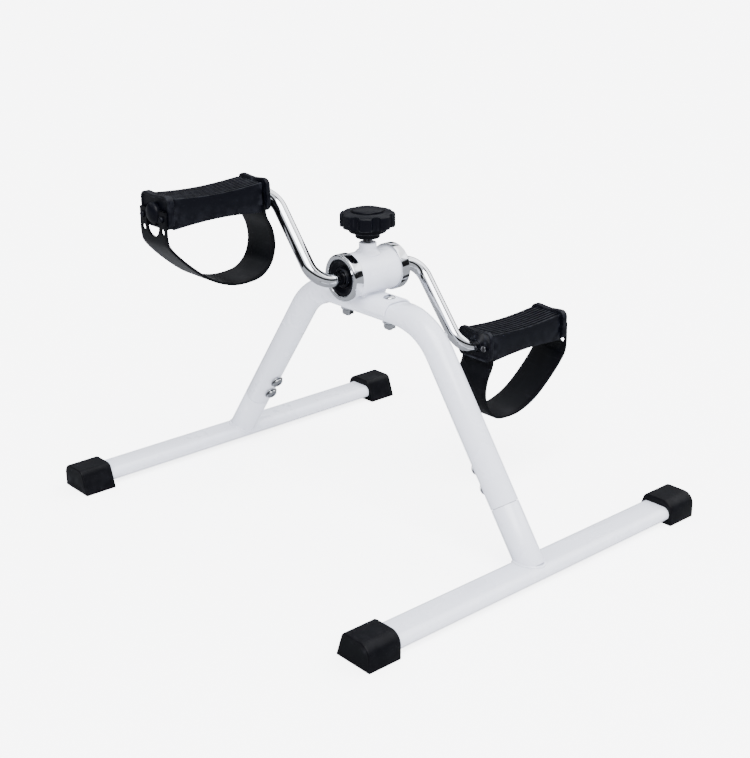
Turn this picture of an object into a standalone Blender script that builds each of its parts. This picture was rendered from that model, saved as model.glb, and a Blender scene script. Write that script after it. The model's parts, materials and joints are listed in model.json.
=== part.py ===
"""Pedal exerciser: a bent tube arch on two base bars, with a friction hub, a crank and two strapped pedals.

Metres, +Z up. The crank axis runs along X. The origin is on the floor under the middle of the hub.
Front is -Y, left is -X.
"""

import math

import bmesh
import bpy
from mathutils import Matrix, Vector

MM = 0.001

# Clearances
GAP = 0.3 * MM
RUNNING_GAP = 0.3 * MM
CUT_REACH = 5 * MM

# Base bars: flat-oval tubes along X
BASE_LENGTH = 400 * MM
BAR_SPACING = 420 * MM
BAR_WIDTH = 31 * MM
BAR_HEIGHT = 13.4 * MM
BAR_WALL = 1.5 * MM

# Foot caps
CAP_LENGTH = 33 * MM
CAP_SIDE = 3.25 * MM
CAP_TOE = 5.9 * MM
CAP_RISE = 6.8 * MM
CAP_SOLE = 3.6 * MM
CAP_END_WALL = 4 * MM
CAP_EDGE = 2.2 * MM
CAP_OUTER_ROUND = 11 * MM
CAP_INNER_ROUND = 6 * MM
CAP_LEAN = math.radians(19)

# Arch: round tube, pressed flat where it carries the hub
LEG_DIAMETER = 25.4 * MM
LEG_WALL = 1.5 * MM
ARCH_HEIGHT = 197.5 * MM
ARCH_BEND_RADIUS = 60 * MM
ARCH_SHOULDER = 37 * MM
FLAT_HEIGHT = 18 * MM
FLAT_RUNOUT = 26 * MM
SEAM_HEIGHT = 58 * MM

# Leg sleeves and their bolts
SLEEVE_WALL = 2.2 * MM
SLEEVE_BELOW = 25 * MM
SLEEVE_ABOVE = 45 * MM
LEG_BOLT_FIRST = 19.5 * MM
LEG_BOLT_PITCH = 18.5 * MM
LEG_BOLT_RADIUS = 3 * MM
LEG_BOLT_HEAD_RADIUS = 5.6 * MM
LEG_BOLT_HEAD_HEIGHT = 3.4 * MM
LEG_BOLT_LENGTH = 11 * MM
LEG_WASHER_RADIUS = 6.8 * MM
LEG_WASHER_THICKNESS = 1.2 * MM

# Hub housing: saddle, tube and boss, welded into one piece
HUB_RADIUS = 20 * MM
HUB_WALL = 3 * MM
HUB_LENGTH = 60 * MM
SADDLE_SHEET = 2 * MM
SADDLE_LENGTH = 80 * MM
SADDLE_SKIRT = 9.5 * MM
WELD_DEPTH = 0.4 * MM
BOSS_RADIUS = 8 * MM
BOSS_RISE = 7.5 * MM
SADDLE_BOLT_Y = 29 * MM
SADDLE_BOLT_RADIUS = 3 * MM
SADDLE_HEAD_RADIUS = 5.6 * MM
SADDLE_HEAD_HEIGHT = 3.6 * MM
SADDLE_NUT_RADIUS = 5.8 * MM
SADDLE_NUT_HEIGHT = 6.4 * MM
NUT_FLANGE_RADIUS = 6.6 * MM
NUT_FLANGE_THICKNESS = 1.6 * MM
SADDLE_BOLT_TAIL = 2 * MM

# Hub ends
RING_RADIUS = 21.5 * MM
RING_LENGTH = 10 * MM
RING_LIP = 2.7 * MM
RING_EDGE = 0.8 * MM
BUSH_LENGTH = 16.5 * MM
BUSH_RECESS = 1.5 * MM
BUSH_DISH = 2.5 * MM
BUSH_COLLAR = 2.5 * MM

# Crank: one bent rod
ROD_RADIUS = 6.35 * MM
CRANK_RADIUS = 95.5 * MM
CRANK_ANGLE = math.radians(50.8)
CRANK_HALF_WIDTH = 60 * MM
CRANK_BEND_RADIUS = 19 * MM

# Friction brake
SHOE_THICKNESS = 3.4 * MM
SHOE_TRAVEL = 2.5 * MM
SHOE_LENGTH = 20 * MM
SHOE_HALF_ANGLE = math.radians(38)
SCREW_RADIUS = 4 * MM
SCREW_IN_KNOB = 14 * MM
KNOB_STANDOFF = 4.3 * MM
KNOB_NECK_RADIUS = 11.2 * MM
KNOB_NECK_HEIGHT = 5.5 * MM
KNOB_TIER_RADIUS = 17 * MM
KNOB_TIER_HEIGHT = 5 * MM
KNOB_RADIUS = 25 * MM
KNOB_SCALLOP = 1.7 * MM
KNOB_LOBES = 8
KNOB_RIM_HEIGHT = 13.5 * MM
KNOB_EDGE = 2 * MM
KNOB_DISC_RADIUS = 14.5 * MM
KNOB_DISC_HEIGHT = 3 * MM

# Pedals, measured outward from the crank arm's plane
PEDAL_OFFSET = 17 * MM
FLANGE_WIDTH = 42 * MM
FLANGE_TOP = 16 * MM
FLANGE_BOTTOM = 12.5 * MM
FLANGE_CORNER = 6 * MM
INNER_FLANGE_THICKNESS = 4 * MM
INNER_FLANGE_EDGE = 1 * MM
OUTER_FLANGE_THICKNESS = 6 * MM
OUTER_FLANGE_EDGE = 1.4 * MM
PEDAL_WIDTH = 36 * MM
PEDAL_LENGTH = 92 * MM
PEDAL_TOP = 13.2 * MM
PEDAL_BOTTOM = 13.2 * MM
PEDAL_WAIST = 2.6 * MM
PEDAL_SHELL = 3 * MM
PEDAL_TUBE_WALL = 3.15 * MM
PEDAL_CORNER = 2 * MM
TREAD_RIBS = 7
TREAD_DEPTH = 1.3 * MM
TREAD_EDGE = 2.6 * MM
TREAD_CHAMFER = 0.8 * MM
PUSH_NUT_RIM = 1.65 * MM
PUSH_NUT_THICKNESS = 1.4 * MM
PIN_END = 4 * MM
AXLE_CAP_RIM = 1 * MM
AXLE_CAP_RISE = 5.8 * MM
PEG_RADIUS = 2.6 * MM
PEG_Z = -3 * MM
PEG_RISE = 5 * MM
FLANGE_SCREW_Y = 12.5 * MM
FLANGE_SCREW_RADIUS = 3 * MM
FLANGE_SCREW_HEAD = 1.6 * MM
FLANGE_SCREW_SHANK = 1.4 * MM
FLANGE_SCREW_LENGTH = 12 * MM

# Straps
STRAP_THICKNESS = 2.2 * MM
STRAP_DROP = 71 * MM
STRAP_TONGUE = 10 * MM
STRAP_FORK_DROP = 17 * MM
STRAP_HOLE_PITCH = 11 * MM
STRAP_SLACK = 2 * MM

# Worked out from the sizes above
BAR_Y = BAR_SPACING / 2
BAR_Z = CAP_SOLE + BAR_HEIGHT / 2
LEG_RADIUS = LEG_DIAMETER / 2
FLAT_HALF_LENGTH = SADDLE_LENGTH / 2
FLAT_RADIUS = FLAT_HEIGHT / 2
FLAT_HALF_WIDTH = (math.pi * LEG_RADIUS - (math.pi - 2) * FLAT_RADIUS) / 2
ARCH_TOP = ARCH_HEIGHT + FLAT_RADIUS
ARCH_UNDERSIDE = ARCH_HEIGHT - FLAT_RADIUS
SADDLE_TOP = ARCH_TOP + GAP + SADDLE_SHEET
HUB_Z = SADDLE_TOP + HUB_RADIUS - WELD_DEPTH
HUB_BORE = HUB_RADIUS - HUB_WALL
BOSS_TOP = HUB_Z + HUB_RADIUS + BOSS_RISE
ARCH_CORNER_Y = FLAT_HALF_LENGTH + ARCH_SHOULDER
LEG_ANGLE = math.atan2(ARCH_HEIGHT - BAR_Z, BAR_Y - ARCH_CORNER_Y)
BEND_TANGENT = ARCH_BEND_RADIUS * math.tan(LEG_ANGLE / 2)
BEND_START_Y = ARCH_CORNER_Y - BEND_TANGENT
PIN_Y = CRANK_RADIUS * math.cos(CRANK_ANGLE)
PIN_Z = CRANK_RADIUS * math.sin(CRANK_ANGLE)
SHOE_OUTER = HUB_BORE - GAP
DRUM_RADIUS = SHOE_OUTER - SHOE_THICKNESS - SHOE_TRAVEL - RUNNING_GAP
SCREW_BOTTOM = HUB_Z + SHOE_OUTER + GAP
KNOB_BOTTOM = BOSS_TOP + KNOB_STANDOFF
PEDAL_START = PEDAL_OFFSET + INNER_FLANGE_THICKNESS + STRAP_THICKNESS + 2 * GAP
PEDAL_END = PEDAL_START + PEDAL_LENGTH
OUTER_FLANGE_START = PEDAL_END + GAP
OUTER_FLANGE_END = OUTER_FLANGE_START + OUTER_FLANGE_THICKNESS
PIN_LENGTH = PEDAL_END + PIN_END
PEDAL_TUBE_RADIUS = ROD_RADIUS + PEDAL_TUBE_WALL
PUSH_NUT_RADIUS = ROD_RADIUS + PUSH_NUT_RIM
AXLE_CAP_RADIUS = PUSH_NUT_RADIUS + AXLE_CAP_RIM
PEG_Y = AXLE_CAP_RADIUS + GAP + STRAP_TONGUE / 2
STRAP_WIDTH = 2 * PEG_Y + STRAP_TONGUE

ROUND = 24
HUB_ROUND = 32
ROD_ROUND = 16
SMALL_ROUND = 12


# ---------------------------------------------------------------- materials


def material(name, colour, roughness, metallic):
    mat = bpy.data.materials.new(name)
    mat.use_nodes = True
    shader = mat.node_tree.nodes["Principled BSDF"]
    shader.inputs["Base Color"].default_value = (*colour, 1)
    shader.inputs["Roughness"].default_value = roughness
    shader.inputs["Metallic"].default_value = metallic
    mat.diffuse_color = (*colour, 1)
    return mat


def white_paint():
    return material("white_paint", (0.80, 0.81, 0.84), 0.3, 0.0)


def bright_chrome():
    return material("bright_chrome", (0.86, 0.87, 0.88), 0.1, 1.0)


def zinc_steel():
    return material("zinc_steel", (0.62, 0.63, 0.65), 0.3, 1.0)


def black_steel():
    return material("black_steel", (0.025, 0.025, 0.03), 0.35, 0.6)


def black_plastic():
    return material("black_plastic", (0.012, 0.013, 0.018), 0.38, 0.0)


def black_rubber():
    return material("black_rubber", (0.016, 0.016, 0.018), 0.62, 0.0)


def brake_felt():
    return material("brake_felt", (0.16, 0.13, 0.10), 0.9, 0.0)


# ---------------------------------------------------------------- mesh tools


def add_object(name, bm, mat, parent=None):
    """Link the mesh as an object, with outward faces and smooth shading below 35 degrees."""
    bmesh.ops.remove_doubles(bm, verts=bm.verts, dist=0.002 * MM)
    bmesh.ops.recalc_face_normals(bm, faces=bm.faces)
    mesh = bpy.data.meshes.new(name)
    bm.to_mesh(mesh)
    bm.free()
    mesh.shade_smooth()
    mesh.set_sharp_from_angle(angle=math.radians(35))
    obj = bpy.data.objects.new(name, mesh)
    bpy.context.scene.collection.objects.link(obj)
    if mat is not None:
        mesh.materials.append(mat)
    if parent is not None:
        obj.parent = parent
    return obj


def add_empty(name, location, turn=0.0):
    empty = bpy.data.objects.new(name, None)
    empty.location = location
    empty.rotation_euler = (0, 0, turn)
    bpy.context.scene.collection.objects.link(empty)
    return empty


def boolean(target, bm, operation, parent=None):
    """Cut or join a hidden tool object with the target."""
    tool = add_object(f"{target.name}_tool_{len(target.modifiers)}", bm, None, parent)
    tool.hide_render = True
    tool.display_type = "WIRE"
    modifier = target.modifiers.new(operation.lower(), "BOOLEAN")
    modifier.operation = operation
    modifier.solver = "EXACT"
    modifier.object = tool


def arc(centre, radius, start, end, steps):
    """Points on an arc in a plane; angles in degrees."""
    points = []
    for i in range(steps + 1):
        angle = math.radians(start + (end - start) * i / steps)
        points.append((centre[0] + radius * math.cos(angle), centre[1] + radius * math.sin(angle)))
    return points


def oval(half_width, half_height, steps=ROUND):
    """A flat oval: straight top and bottom, round sides. A circle when the two halves are equal."""
    quarter = steps // 4
    straight = half_width - half_height
    points = arc((straight, 0), half_height, -90, 90, 2 * quarter)
    points += arc((-straight, 0), half_height, 90, 270, 2 * quarter)
    return points


def rounded_box(width, bottom, top, corner, steps=3):
    """A rectangle with round corners, centred in width, from -bottom to top."""
    x = width / 2 - corner
    points = arc((x, corner - bottom), corner, -90, 0, steps)
    points += arc((x, top - corner), corner, 0, 90, steps)
    points += arc((-x, top - corner), corner, 90, 180, steps)
    points += arc((-x, corner - bottom), corner, 180, 270, steps)
    return points


def loft(rings, loop=False):
    """Join rings of equal point count into one closed skin, capped at both ends unless it loops."""
    bm = bmesh.new()
    rows = [[bm.verts.new(point) for point in ring] for ring in rings]
    pairs = list(zip(rows, rows[1:]))
    if loop:
        pairs.append((rows[-1], rows[0]))
    for low, high in pairs:
        for i in range(len(low)):
            j = (i + 1) % len(low)
            bm.faces.new((low[i], low[j], high[j], high[i]))
    if not loop:
        bm.faces.new(rows[0])
        bm.faces.new(rows[-1])
    return bm


def prism(outline, start, end):
    """Extrude a Y-Z outline along X."""
    return loft([[(x, y, z) for y, z in outline] for x in (start, end)])


def turned(profile, centre=(0, 0, 0), axis=(0, 0, 1), steps=ROUND, ring=False):
    """Spin a profile of (radius, height) points about an axis; a ring profile closes on itself."""
    bm = bmesh.new()
    verts = [bm.verts.new((radius, 0, height)) for radius, height in profile]
    edges = [bm.edges.new(pair) for pair in zip(verts, verts[1:])]
    if ring:
        edges.append(bm.edges.new((verts[-1], verts[0])))
    bmesh.ops.spin(
        bm, geom=verts + edges, cent=(0, 0, 0), axis=(0, 0, 1), angle=math.tau, steps=steps, use_merge=True
    )
    bmesh.ops.remove_doubles(bm, verts=bm.verts, dist=0.002 * MM)
    turn = Vector((0, 0, 1)).rotation_difference(Vector(axis)).to_matrix().to_4x4()
    bm.transform(Matrix.Translation(centre) @ turn)
    return bm


def rod(radius, start, end, steps=SMALL_ROUND):
    """A plain round bar between two points."""
    start, end = Vector(start), Vector(end)
    length = (end - start).length
    return turned([(0, 0), (radius, 0), (radius, length), (0, length)], start, end - start, steps)


def hollow_rod(outer, inner, start, end, steps=ROUND):
    """A round tube between two points."""
    start, end = Vector(start), Vector(end)
    length = (end - start).length
    profile = [(outer, 0), (outer, length), (inner, length), (inner, 0)]
    return turned(profile, start, end - start, steps, ring=True)


# ---------------------------------------------------------------- base


def leg_point(side, height):
    """The leg's centreline at a height; side is 1 at the rear and -1 at the front."""
    return Vector((0, side * (BAR_Y - (height - BAR_Z) / math.tan(LEG_ANGLE)), height))


def leg_direction(side):
    """Up along the leg."""
    return Vector((0, -side * math.cos(LEG_ANGLE), math.sin(LEG_ANGLE)))


def leg_inward(side):
    """Square to the leg, towards the space under the arch."""
    return Vector((0, -side * math.sin(LEG_ANGLE), -math.cos(LEG_ANGLE)))


def base_bar(name, side, mat):
    """A base bar with the leg stub welded on."""
    half_length = BASE_LENGTH / 2 - CAP_END_WALL - GAP
    outer = oval(BAR_WIDTH / 2, BAR_HEIGHT / 2)
    inner = oval(BAR_WIDTH / 2 - BAR_WALL, BAR_HEIGHT / 2 - BAR_WALL)
    centre_y = side * BAR_Y
    rings = []
    for outline, ends in ((outer, (-half_length, half_length)), (inner, (half_length, -half_length))):
        for x in ends:
            rings.append([(x, centre_y + y, BAR_Z + z) for y, z in outline])
    bar = add_object(name, loft(rings, loop=True), mat)
    boolean(bar, leg_stub(side), "UNION")


def leg_stub(side):
    """The short tube that the arch stands on, cut level at the bar's middle."""
    along = leg_direction(side)
    across = leg_inward(side)
    seam = leg_point(side, SEAM_HEIGHT)
    inner = LEG_RADIUS - LEG_WALL
    rings = []
    for radius, at_bar in ((LEG_RADIUS, True), (LEG_RADIUS, False), (inner, False), (inner, True)):
        ring = []
        for i in range(ROUND):
            angle = math.tau * i / ROUND
            point = seam + radius * (math.cos(angle) * Vector((1, 0, 0)) + math.sin(angle) * across)
            if at_bar:
                point -= along * ((point.z - BAR_Z) / along.z)
            ring.append(point)
        rings.append(ring)
    return loft(rings, loop=True)


def foot_cap_outline(side):
    """The cap's section: flat sole, upright outer wall, sloping inner wall and a round top."""
    inner = BAR_WIDTH / 2 + CAP_TOE
    outer = BAR_WIDTH / 2 + CAP_SIDE
    top = CAP_SOLE + BAR_HEIGHT + CAP_RISE
    outline = [(-inner, 0), (outer, 0)]
    outline += arc((outer - CAP_OUTER_ROUND, top - CAP_OUTER_ROUND), CAP_OUTER_ROUND, 0, 90, 5)
    round_z = top - CAP_INNER_ROUND
    wall_end = round_z + CAP_INNER_ROUND * math.sin(CAP_LEAN)
    round_y = wall_end * math.tan(CAP_LEAN) + CAP_INNER_ROUND * math.cos(CAP_LEAN) - inner
    outline += arc((round_y, round_z), CAP_INNER_ROUND, 90, 180 - math.degrees(CAP_LEAN), 5)
    return [(side * y, z) for y, z in outline]


def foot_cap(name, side, end, mat):
    """A cap over one end of a base bar; end is 1 at +X and -1 at -X."""
    outline = foot_cap_outline(side)
    mid_z = (CAP_SOLE + BAR_HEIGHT + CAP_RISE) / 2
    shrink_y = 1 - CAP_EDGE / (BAR_WIDTH / 2 + CAP_SIDE)
    shrink_z = 1 - CAP_EDGE / (2 * mid_z)
    face = BASE_LENGTH / 2
    rings = []
    for x, tuck in ((face - CAP_LENGTH, 0), (face - CAP_EDGE, 0), (face - CAP_EDGE / 3, 0.4), (face, 1)):
        scale_y = 1 - tuck * (1 - shrink_y)
        scale_z = 1 - tuck * (1 - shrink_z)
        rings.append([(end * x, side * BAR_Y + y * scale_y, z * scale_z) for y, z in outline])
    cap = add_object(name, loft(rings), mat)
    socket = oval(BAR_WIDTH / 2 + GAP, BAR_HEIGHT / 2 + GAP)
    outline = [(side * BAR_Y + y, BAR_Z + z) for y, z in socket]
    ends = sorted((end * (face - CAP_LENGTH - CUT_REACH), end * (face - CAP_END_WALL)))
    boolean(cap, prism(outline, *ends), "DIFFERENCE")


# ---------------------------------------------------------------- arch


def arch_stations():
    """Centreline points from the front seam to the rear seam: (y, z, slope angle)."""
    bend_y = BEND_START_Y
    bend_z = ARCH_HEIGHT - ARCH_BEND_RADIUS
    half = [(0.0, ARCH_HEIGHT, 0.0), (FLAT_HALF_LENGTH + GAP, ARCH_HEIGHT, 0.0)]
    steps = 7
    for i in range(steps + 1):
        angle = LEG_ANGLE * i / steps
        y = bend_y + ARCH_BEND_RADIUS * math.sin(angle)
        half.append((y, bend_z + ARCH_BEND_RADIUS * math.cos(angle), angle))
    seam = leg_point(1, SEAM_HEIGHT) + leg_direction(1) * GAP
    half.append((seam.y, seam.z, LEG_ANGLE))
    front = [(-y, z, -angle) for y, z, angle in reversed(half[1:])]
    return front + half


def flatness(y):
    """1 where the tube is pressed flat, falling smoothly to 0 where it is round."""
    t = min(max((abs(y) - FLAT_HALF_LENGTH - GAP) / FLAT_RUNOUT, 0), 1)
    return 1 - t * t * (3 - 2 * t)


def arch_ring(station, inset):
    """One section of the arch, square to its centreline, inset from the outer surface."""
    y, z, slope = station
    flat = flatness(y)
    half_height = LEG_RADIUS + (FLAT_RADIUS - LEG_RADIUS) * flat
    half_width = (math.pi * LEG_RADIUS - (math.pi - 2) * half_height) / 2
    up = Vector((0, math.sin(slope), math.cos(slope)))
    centre = Vector((0, y, z))
    ring = []
    for across, height in oval(half_width - inset, half_height - inset):
        ring.append(centre + Vector((across, 0, 0)) + up * height)
    return ring


def arch_tube(mat):
    """The bent tube, with holes for the saddle bolts and the leg bolts."""
    stations = arch_stations()
    rings = [arch_ring(station, 0) for station in stations]
    rings += [arch_ring(station, LEG_WALL) for station in reversed(stations)]
    tube = add_object("arch_tube", loft(rings, loop=True), mat)
    for side in (-1, 1):
        y = side * SADDLE_BOLT_Y
        low = (0, y, ARCH_UNDERSIDE - CUT_REACH)
        high = (0, y, ARCH_TOP + CUT_REACH)
        boolean(tube, rod(SADDLE_BOLT_RADIUS + GAP, low, high), "DIFFERENCE")
        for index in range(2):
            seat = leg_bolt_seat(side, index)
            inward = leg_inward(side)
            hole = rod(LEG_BOLT_RADIUS + GAP, seat + inward * CUT_REACH, seat - inward * CUT_REACH)
            boolean(tube, hole, "DIFFERENCE")


# ---------------------------------------------------------------- leg sleeves and bolts


def leg_bolt_seat(side, index):
    """Where a leg bolt's axis meets the tube's inner face."""
    along = LEG_BOLT_FIRST + index * LEG_BOLT_PITCH
    return leg_point(side, SEAM_HEIGHT) + leg_direction(side) * along + leg_inward(side) * LEG_RADIUS


def leg_sleeve(name, side, mat):
    """The inner tube that joins stub and arch."""
    outer = LEG_RADIUS - LEG_WALL - GAP
    seam = leg_point(side, SEAM_HEIGHT)
    along = leg_direction(side)
    bm = hollow_rod(outer, outer - SLEEVE_WALL, seam - along * SLEEVE_BELOW, seam + along * SLEEVE_ABOVE)
    sleeve = add_object(name, bm, mat)
    for index in range(2):
        seat = leg_bolt_seat(side, index)
        inward = leg_inward(side)
        hole = rod(LEG_BOLT_RADIUS + GAP, seat, seat - inward * (LEG_WALL + SLEEVE_WALL + CUT_REACH))
        boolean(sleeve, hole, "DIFFERENCE")


def button_profile(head_radius, head_height, shank_radius, shank_length):
    """A button-head screw standing on its head's seat: shank below zero, dome above."""
    profile = [(0, -shank_length), (0.8 * shank_radius, -shank_length)]
    profile += [(shank_radius, -shank_length + 0.4 * shank_radius), (shank_radius, 0), (head_radius, 0)]
    profile.append((head_radius, 0.25 * head_height))
    for i in range(1, 5):
        angle = math.pi / 2 * i / 5
        height = head_height * (0.25 + 0.75 * math.sin(angle))
        profile.append((head_radius * math.cos(angle), height))
    profile.append((0, head_height))
    return profile


def leg_bolt(name, side, index, mat):
    inward = leg_inward(side)
    seat = leg_bolt_seat(side, index) + inward * (LEG_WASHER_THICKNESS + 2 * GAP)
    profile = button_profile(LEG_BOLT_HEAD_RADIUS, LEG_BOLT_HEAD_HEIGHT, LEG_BOLT_RADIUS, LEG_BOLT_LENGTH)
    add_object(name, turned(profile, seat, inward, SMALL_ROUND), mat)


def leg_washer(name, side, index, mat):
    inward = leg_inward(side)
    seat = leg_bolt_seat(side, index) + inward * GAP
    bore = LEG_BOLT_RADIUS + GAP
    bm = hollow_rod(LEG_WASHER_RADIUS, bore, seat, seat + inward * LEG_WASHER_THICKNESS, 20)
    add_object(name, bm, mat)


# ---------------------------------------------------------------- hub


def saddle_outline():
    """The saddle's section in X-Z: a channel that wraps the top and sides of the flat tube."""
    inner_radius = FLAT_RADIUS + GAP
    outer_radius = inner_radius + SADDLE_SHEET
    straight = FLAT_HALF_WIDTH - FLAT_RADIUS
    skirt = ARCH_TOP - SADDLE_SKIRT - ARCH_HEIGHT
    reach = FLAT_HALF_WIDTH + GAP
    quarter = ROUND // 4
    outline = [(reach + SADDLE_SHEET, skirt)]
    outline += arc((straight, 0), outer_radius, 0, 90, quarter)
    outline += arc((-straight, 0), outer_radius, 90, 180, quarter)
    outline += [(-reach - SADDLE_SHEET, skirt), (-reach, skirt)]
    outline += arc((-straight, 0), inner_radius, 180, 90, quarter)
    outline += arc((straight, 0), inner_radius, 90, 0, quarter)
    outline.append((reach, skirt))
    return outline


def hub_housing(mat):
    """The hub tube with its saddle and the boss for the tension screw, welded together."""
    half = HUB_LENGTH / 2
    centre = Vector((0, 0, HUB_Z))
    outside = rod(HUB_RADIUS, centre - Vector((half, 0, 0)), centre + Vector((half, 0, 0)), HUB_ROUND)
    hub = add_object("hub_housing", outside, mat)
    rings = []
    for y in (-SADDLE_LENGTH / 2, SADDLE_LENGTH / 2):
        rings.append([(x, y, ARCH_HEIGHT + z) for x, z in saddle_outline()])
    boolean(hub, loft(rings), "UNION")
    boss = rod(BOSS_RADIUS, (0, 0, HUB_Z + HUB_BORE / 2), (0, 0, BOSS_TOP), 20)
    boolean(hub, boss, "UNION")
    screw_hole = rod(SCREW_RADIUS + RUNNING_GAP, (0, 0, HUB_Z + HUB_BORE / 2), (0, 0, BOSS_TOP + CUT_REACH))
    boolean(hub, screw_hole, "DIFFERENCE")
    for side in (-1, 1):
        y = side * SADDLE_BOLT_Y
        hole = rod(SADDLE_BOLT_RADIUS + GAP, (0, y, ARCH_TOP - CUT_REACH), (0, y, SADDLE_TOP + CUT_REACH))
        boolean(hub, hole, "DIFFERENCE")
    reach = Vector((half + CUT_REACH, 0, 0))
    boolean(hub, rod(HUB_BORE, centre - reach, centre + reach, HUB_ROUND), "DIFFERENCE")


def saddle_bolt(name, side, mat):
    seat = Vector((0, side * SADDLE_BOLT_Y, SADDLE_TOP + GAP))
    length = seat.z - ARCH_UNDERSIDE + SADDLE_NUT_HEIGHT + SADDLE_BOLT_TAIL
    profile = button_profile(SADDLE_HEAD_RADIUS, SADDLE_HEAD_HEIGHT, SADDLE_BOLT_RADIUS, length)
    add_object(name, turned(profile, seat, (0, 0, 1), SMALL_ROUND), mat)


def saddle_nut(name, side, mat):
    """A flange nut under the arch: a round flange with a hexagon below it."""
    seat = Vector((0, side * SADDLE_BOLT_Y, ARCH_UNDERSIDE - GAP))
    down = Vector((0, 0, -1))
    nut = add_object(name, rod(NUT_FLANGE_RADIUS, seat, seat + down * NUT_FLANGE_THICKNESS, ROUND), mat)
    root = seat + down * NUT_FLANGE_THICKNESS / 2
    end = seat + down * SADDLE_NUT_HEIGHT
    boolean(nut, rod(SADDLE_NUT_RADIUS, root, end, 6), "UNION")
    bore = rod(SADDLE_BOLT_RADIUS + GAP, seat - down * CUT_REACH, end + down * CUT_REACH)
    boolean(nut, bore, "DIFFERENCE")


def hub_ring(name, end, mat):
    """A chromed cup over one end of the hub tube."""
    face = HUB_LENGTH / 2 + GAP + RING_LIP
    over = HUB_RADIUS + GAP
    lip = HUB_BORE
    profile = [
        (over, face - RING_LENGTH),
        (RING_RADIUS - RING_EDGE / 2, face - RING_LENGTH),
        (RING_RADIUS, face - RING_LENGTH + RING_EDGE / 2),
        (RING_RADIUS, face - RING_EDGE),
        (RING_RADIUS - RING_EDGE, face),
        (lip + RING_EDGE, face),
        (lip, face - RING_EDGE),
        (lip, HUB_LENGTH / 2 + GAP),
        (over, HUB_LENGTH / 2 + GAP),
    ]
    add_object(name, turned(profile, (0, 0, HUB_Z), (end, 0, 0), HUB_ROUND, ring=True), mat)


def hub_bush(name, end, mat):
    """The plastic bearing in one end of the hub tube, with a recessed face."""
    face = HUB_LENGTH / 2 + GAP + RING_LIP - BUSH_RECESS
    outer = HUB_BORE - GAP
    bore = ROD_RADIUS + RUNNING_GAP
    profile = [
        (outer, face - BUSH_LENGTH),
        (outer, face),
        (outer - BUSH_DISH, face),
        (bore + BUSH_COLLAR + BUSH_DISH / 2, face - BUSH_DISH),
        (bore + BUSH_COLLAR, face - BUSH_DISH),
        (bore + BUSH_COLLAR / 2, face),
        (bore, face),
        (bore, face - BUSH_LENGTH),
    ]
    add_object(name, turned(profile, (0, 0, HUB_Z), (end, 0, 0), ring=True), mat)


# ---------------------------------------------------------------- crank and brake


def crank_path():
    """Centreline of the crank from pin end to pin end, about the hub's centre."""
    arm = Vector((0, PIN_Y, PIN_Z)).normalized()
    radius = CRANK_BEND_RADIUS
    steps = 6
    right = [Vector((CRANK_HALF_WIDTH - radius, 0, 0))]
    for i in range(1, steps + 1):
        angle = math.pi / 2 * i / steps
        x = CRANK_HALF_WIDTH - radius + radius * math.sin(angle)
        right.append(Vector((x, 0, 0)) - arm * radius * (1 - math.cos(angle)))
    for i in range(steps + 1):
        angle = math.pi / 2 * i / steps
        x = CRANK_HALF_WIDTH + radius * (1 - math.cos(angle))
        right.append(Vector((x, 0, 0)) - arm * (CRANK_RADIUS - radius + radius * math.sin(angle)))
    right.append(Vector((CRANK_HALF_WIDTH + PIN_LENGTH, 0, 0)) - arm * CRANK_RADIUS)
    left = [-point for point in reversed(right)]
    return left + right


def crank(parent, mat):
    """The bent rod, swept along its centreline with its pin ends squared off."""
    path = crank_path()
    arm = Vector((0, PIN_Y, PIN_Z)).normalized()
    side = arm.cross(Vector((1, 0, 0)))
    rings = []
    for i, point in enumerate(path):
        before = path[max(i - 1, 0)]
        after = path[min(i + 1, len(path) - 1)]
        along = (after - before).normalized()
        if i in (0, len(path) - 1):
            along = Vector((1, 0, 0))
        across = side.cross(along).normalized()
        ring = []
        for k in range(ROD_ROUND):
            angle = math.tau * k / ROD_ROUND
            ring.append(point + ROD_RADIUS * (math.cos(angle) * across + math.sin(angle) * side))
        rings.append(ring)
    add_object("crank", loft(rings), mat, parent)


def friction_drum(parent, mat):
    """The steel sleeve on the crank that the brake shoe presses on."""
    half = HUB_LENGTH / 2 + RING_LIP - BUSH_RECESS - BUSH_LENGTH - RUNNING_GAP
    bm = hollow_rod(DRUM_RADIUS, ROD_RADIUS + GAP, (-half, 0, 0), (half, 0, 0))
    add_object("friction_drum", bm, mat, parent)


def brake_shoe(parent, mat):
    """A curved pad between the drum and the hub's wall, about the hub's centre."""
    half_angle = math.degrees(SHOE_HALF_ANGLE)
    outline = arc((0, 0), SHOE_OUTER, 90 - half_angle, 90 + half_angle, 10)
    outline += arc((0, 0), SHOE_OUTER - SHOE_THICKNESS, 90 + half_angle, 90 - half_angle, 10)
    add_object("brake_shoe", prism(outline, -SHOE_LENGTH / 2, SHOE_LENGTH / 2), mat, parent)


def tension_screw(parent, mat):
    low = (0, 0, SCREW_BOTTOM - HUB_Z)
    high = (0, 0, KNOB_BOTTOM + SCREW_IN_KNOB - HUB_Z)
    add_object("tension_screw", rod(SCREW_RADIUS, low, high), mat, parent)


def knob_ring(radius, height, scallop=0.0):
    """One level of the knob; scallops make the lobes."""
    count = KNOB_LOBES * 6
    ring = []
    for i in range(count):
        angle = math.tau * i / count
        wave = scallop * (1 - abs(math.cos(KNOB_LOBES * angle / 2))) * 2
        reach = radius - wave
        ring.append((reach * math.cos(angle), reach * math.sin(angle), height))
    return ring


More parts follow.
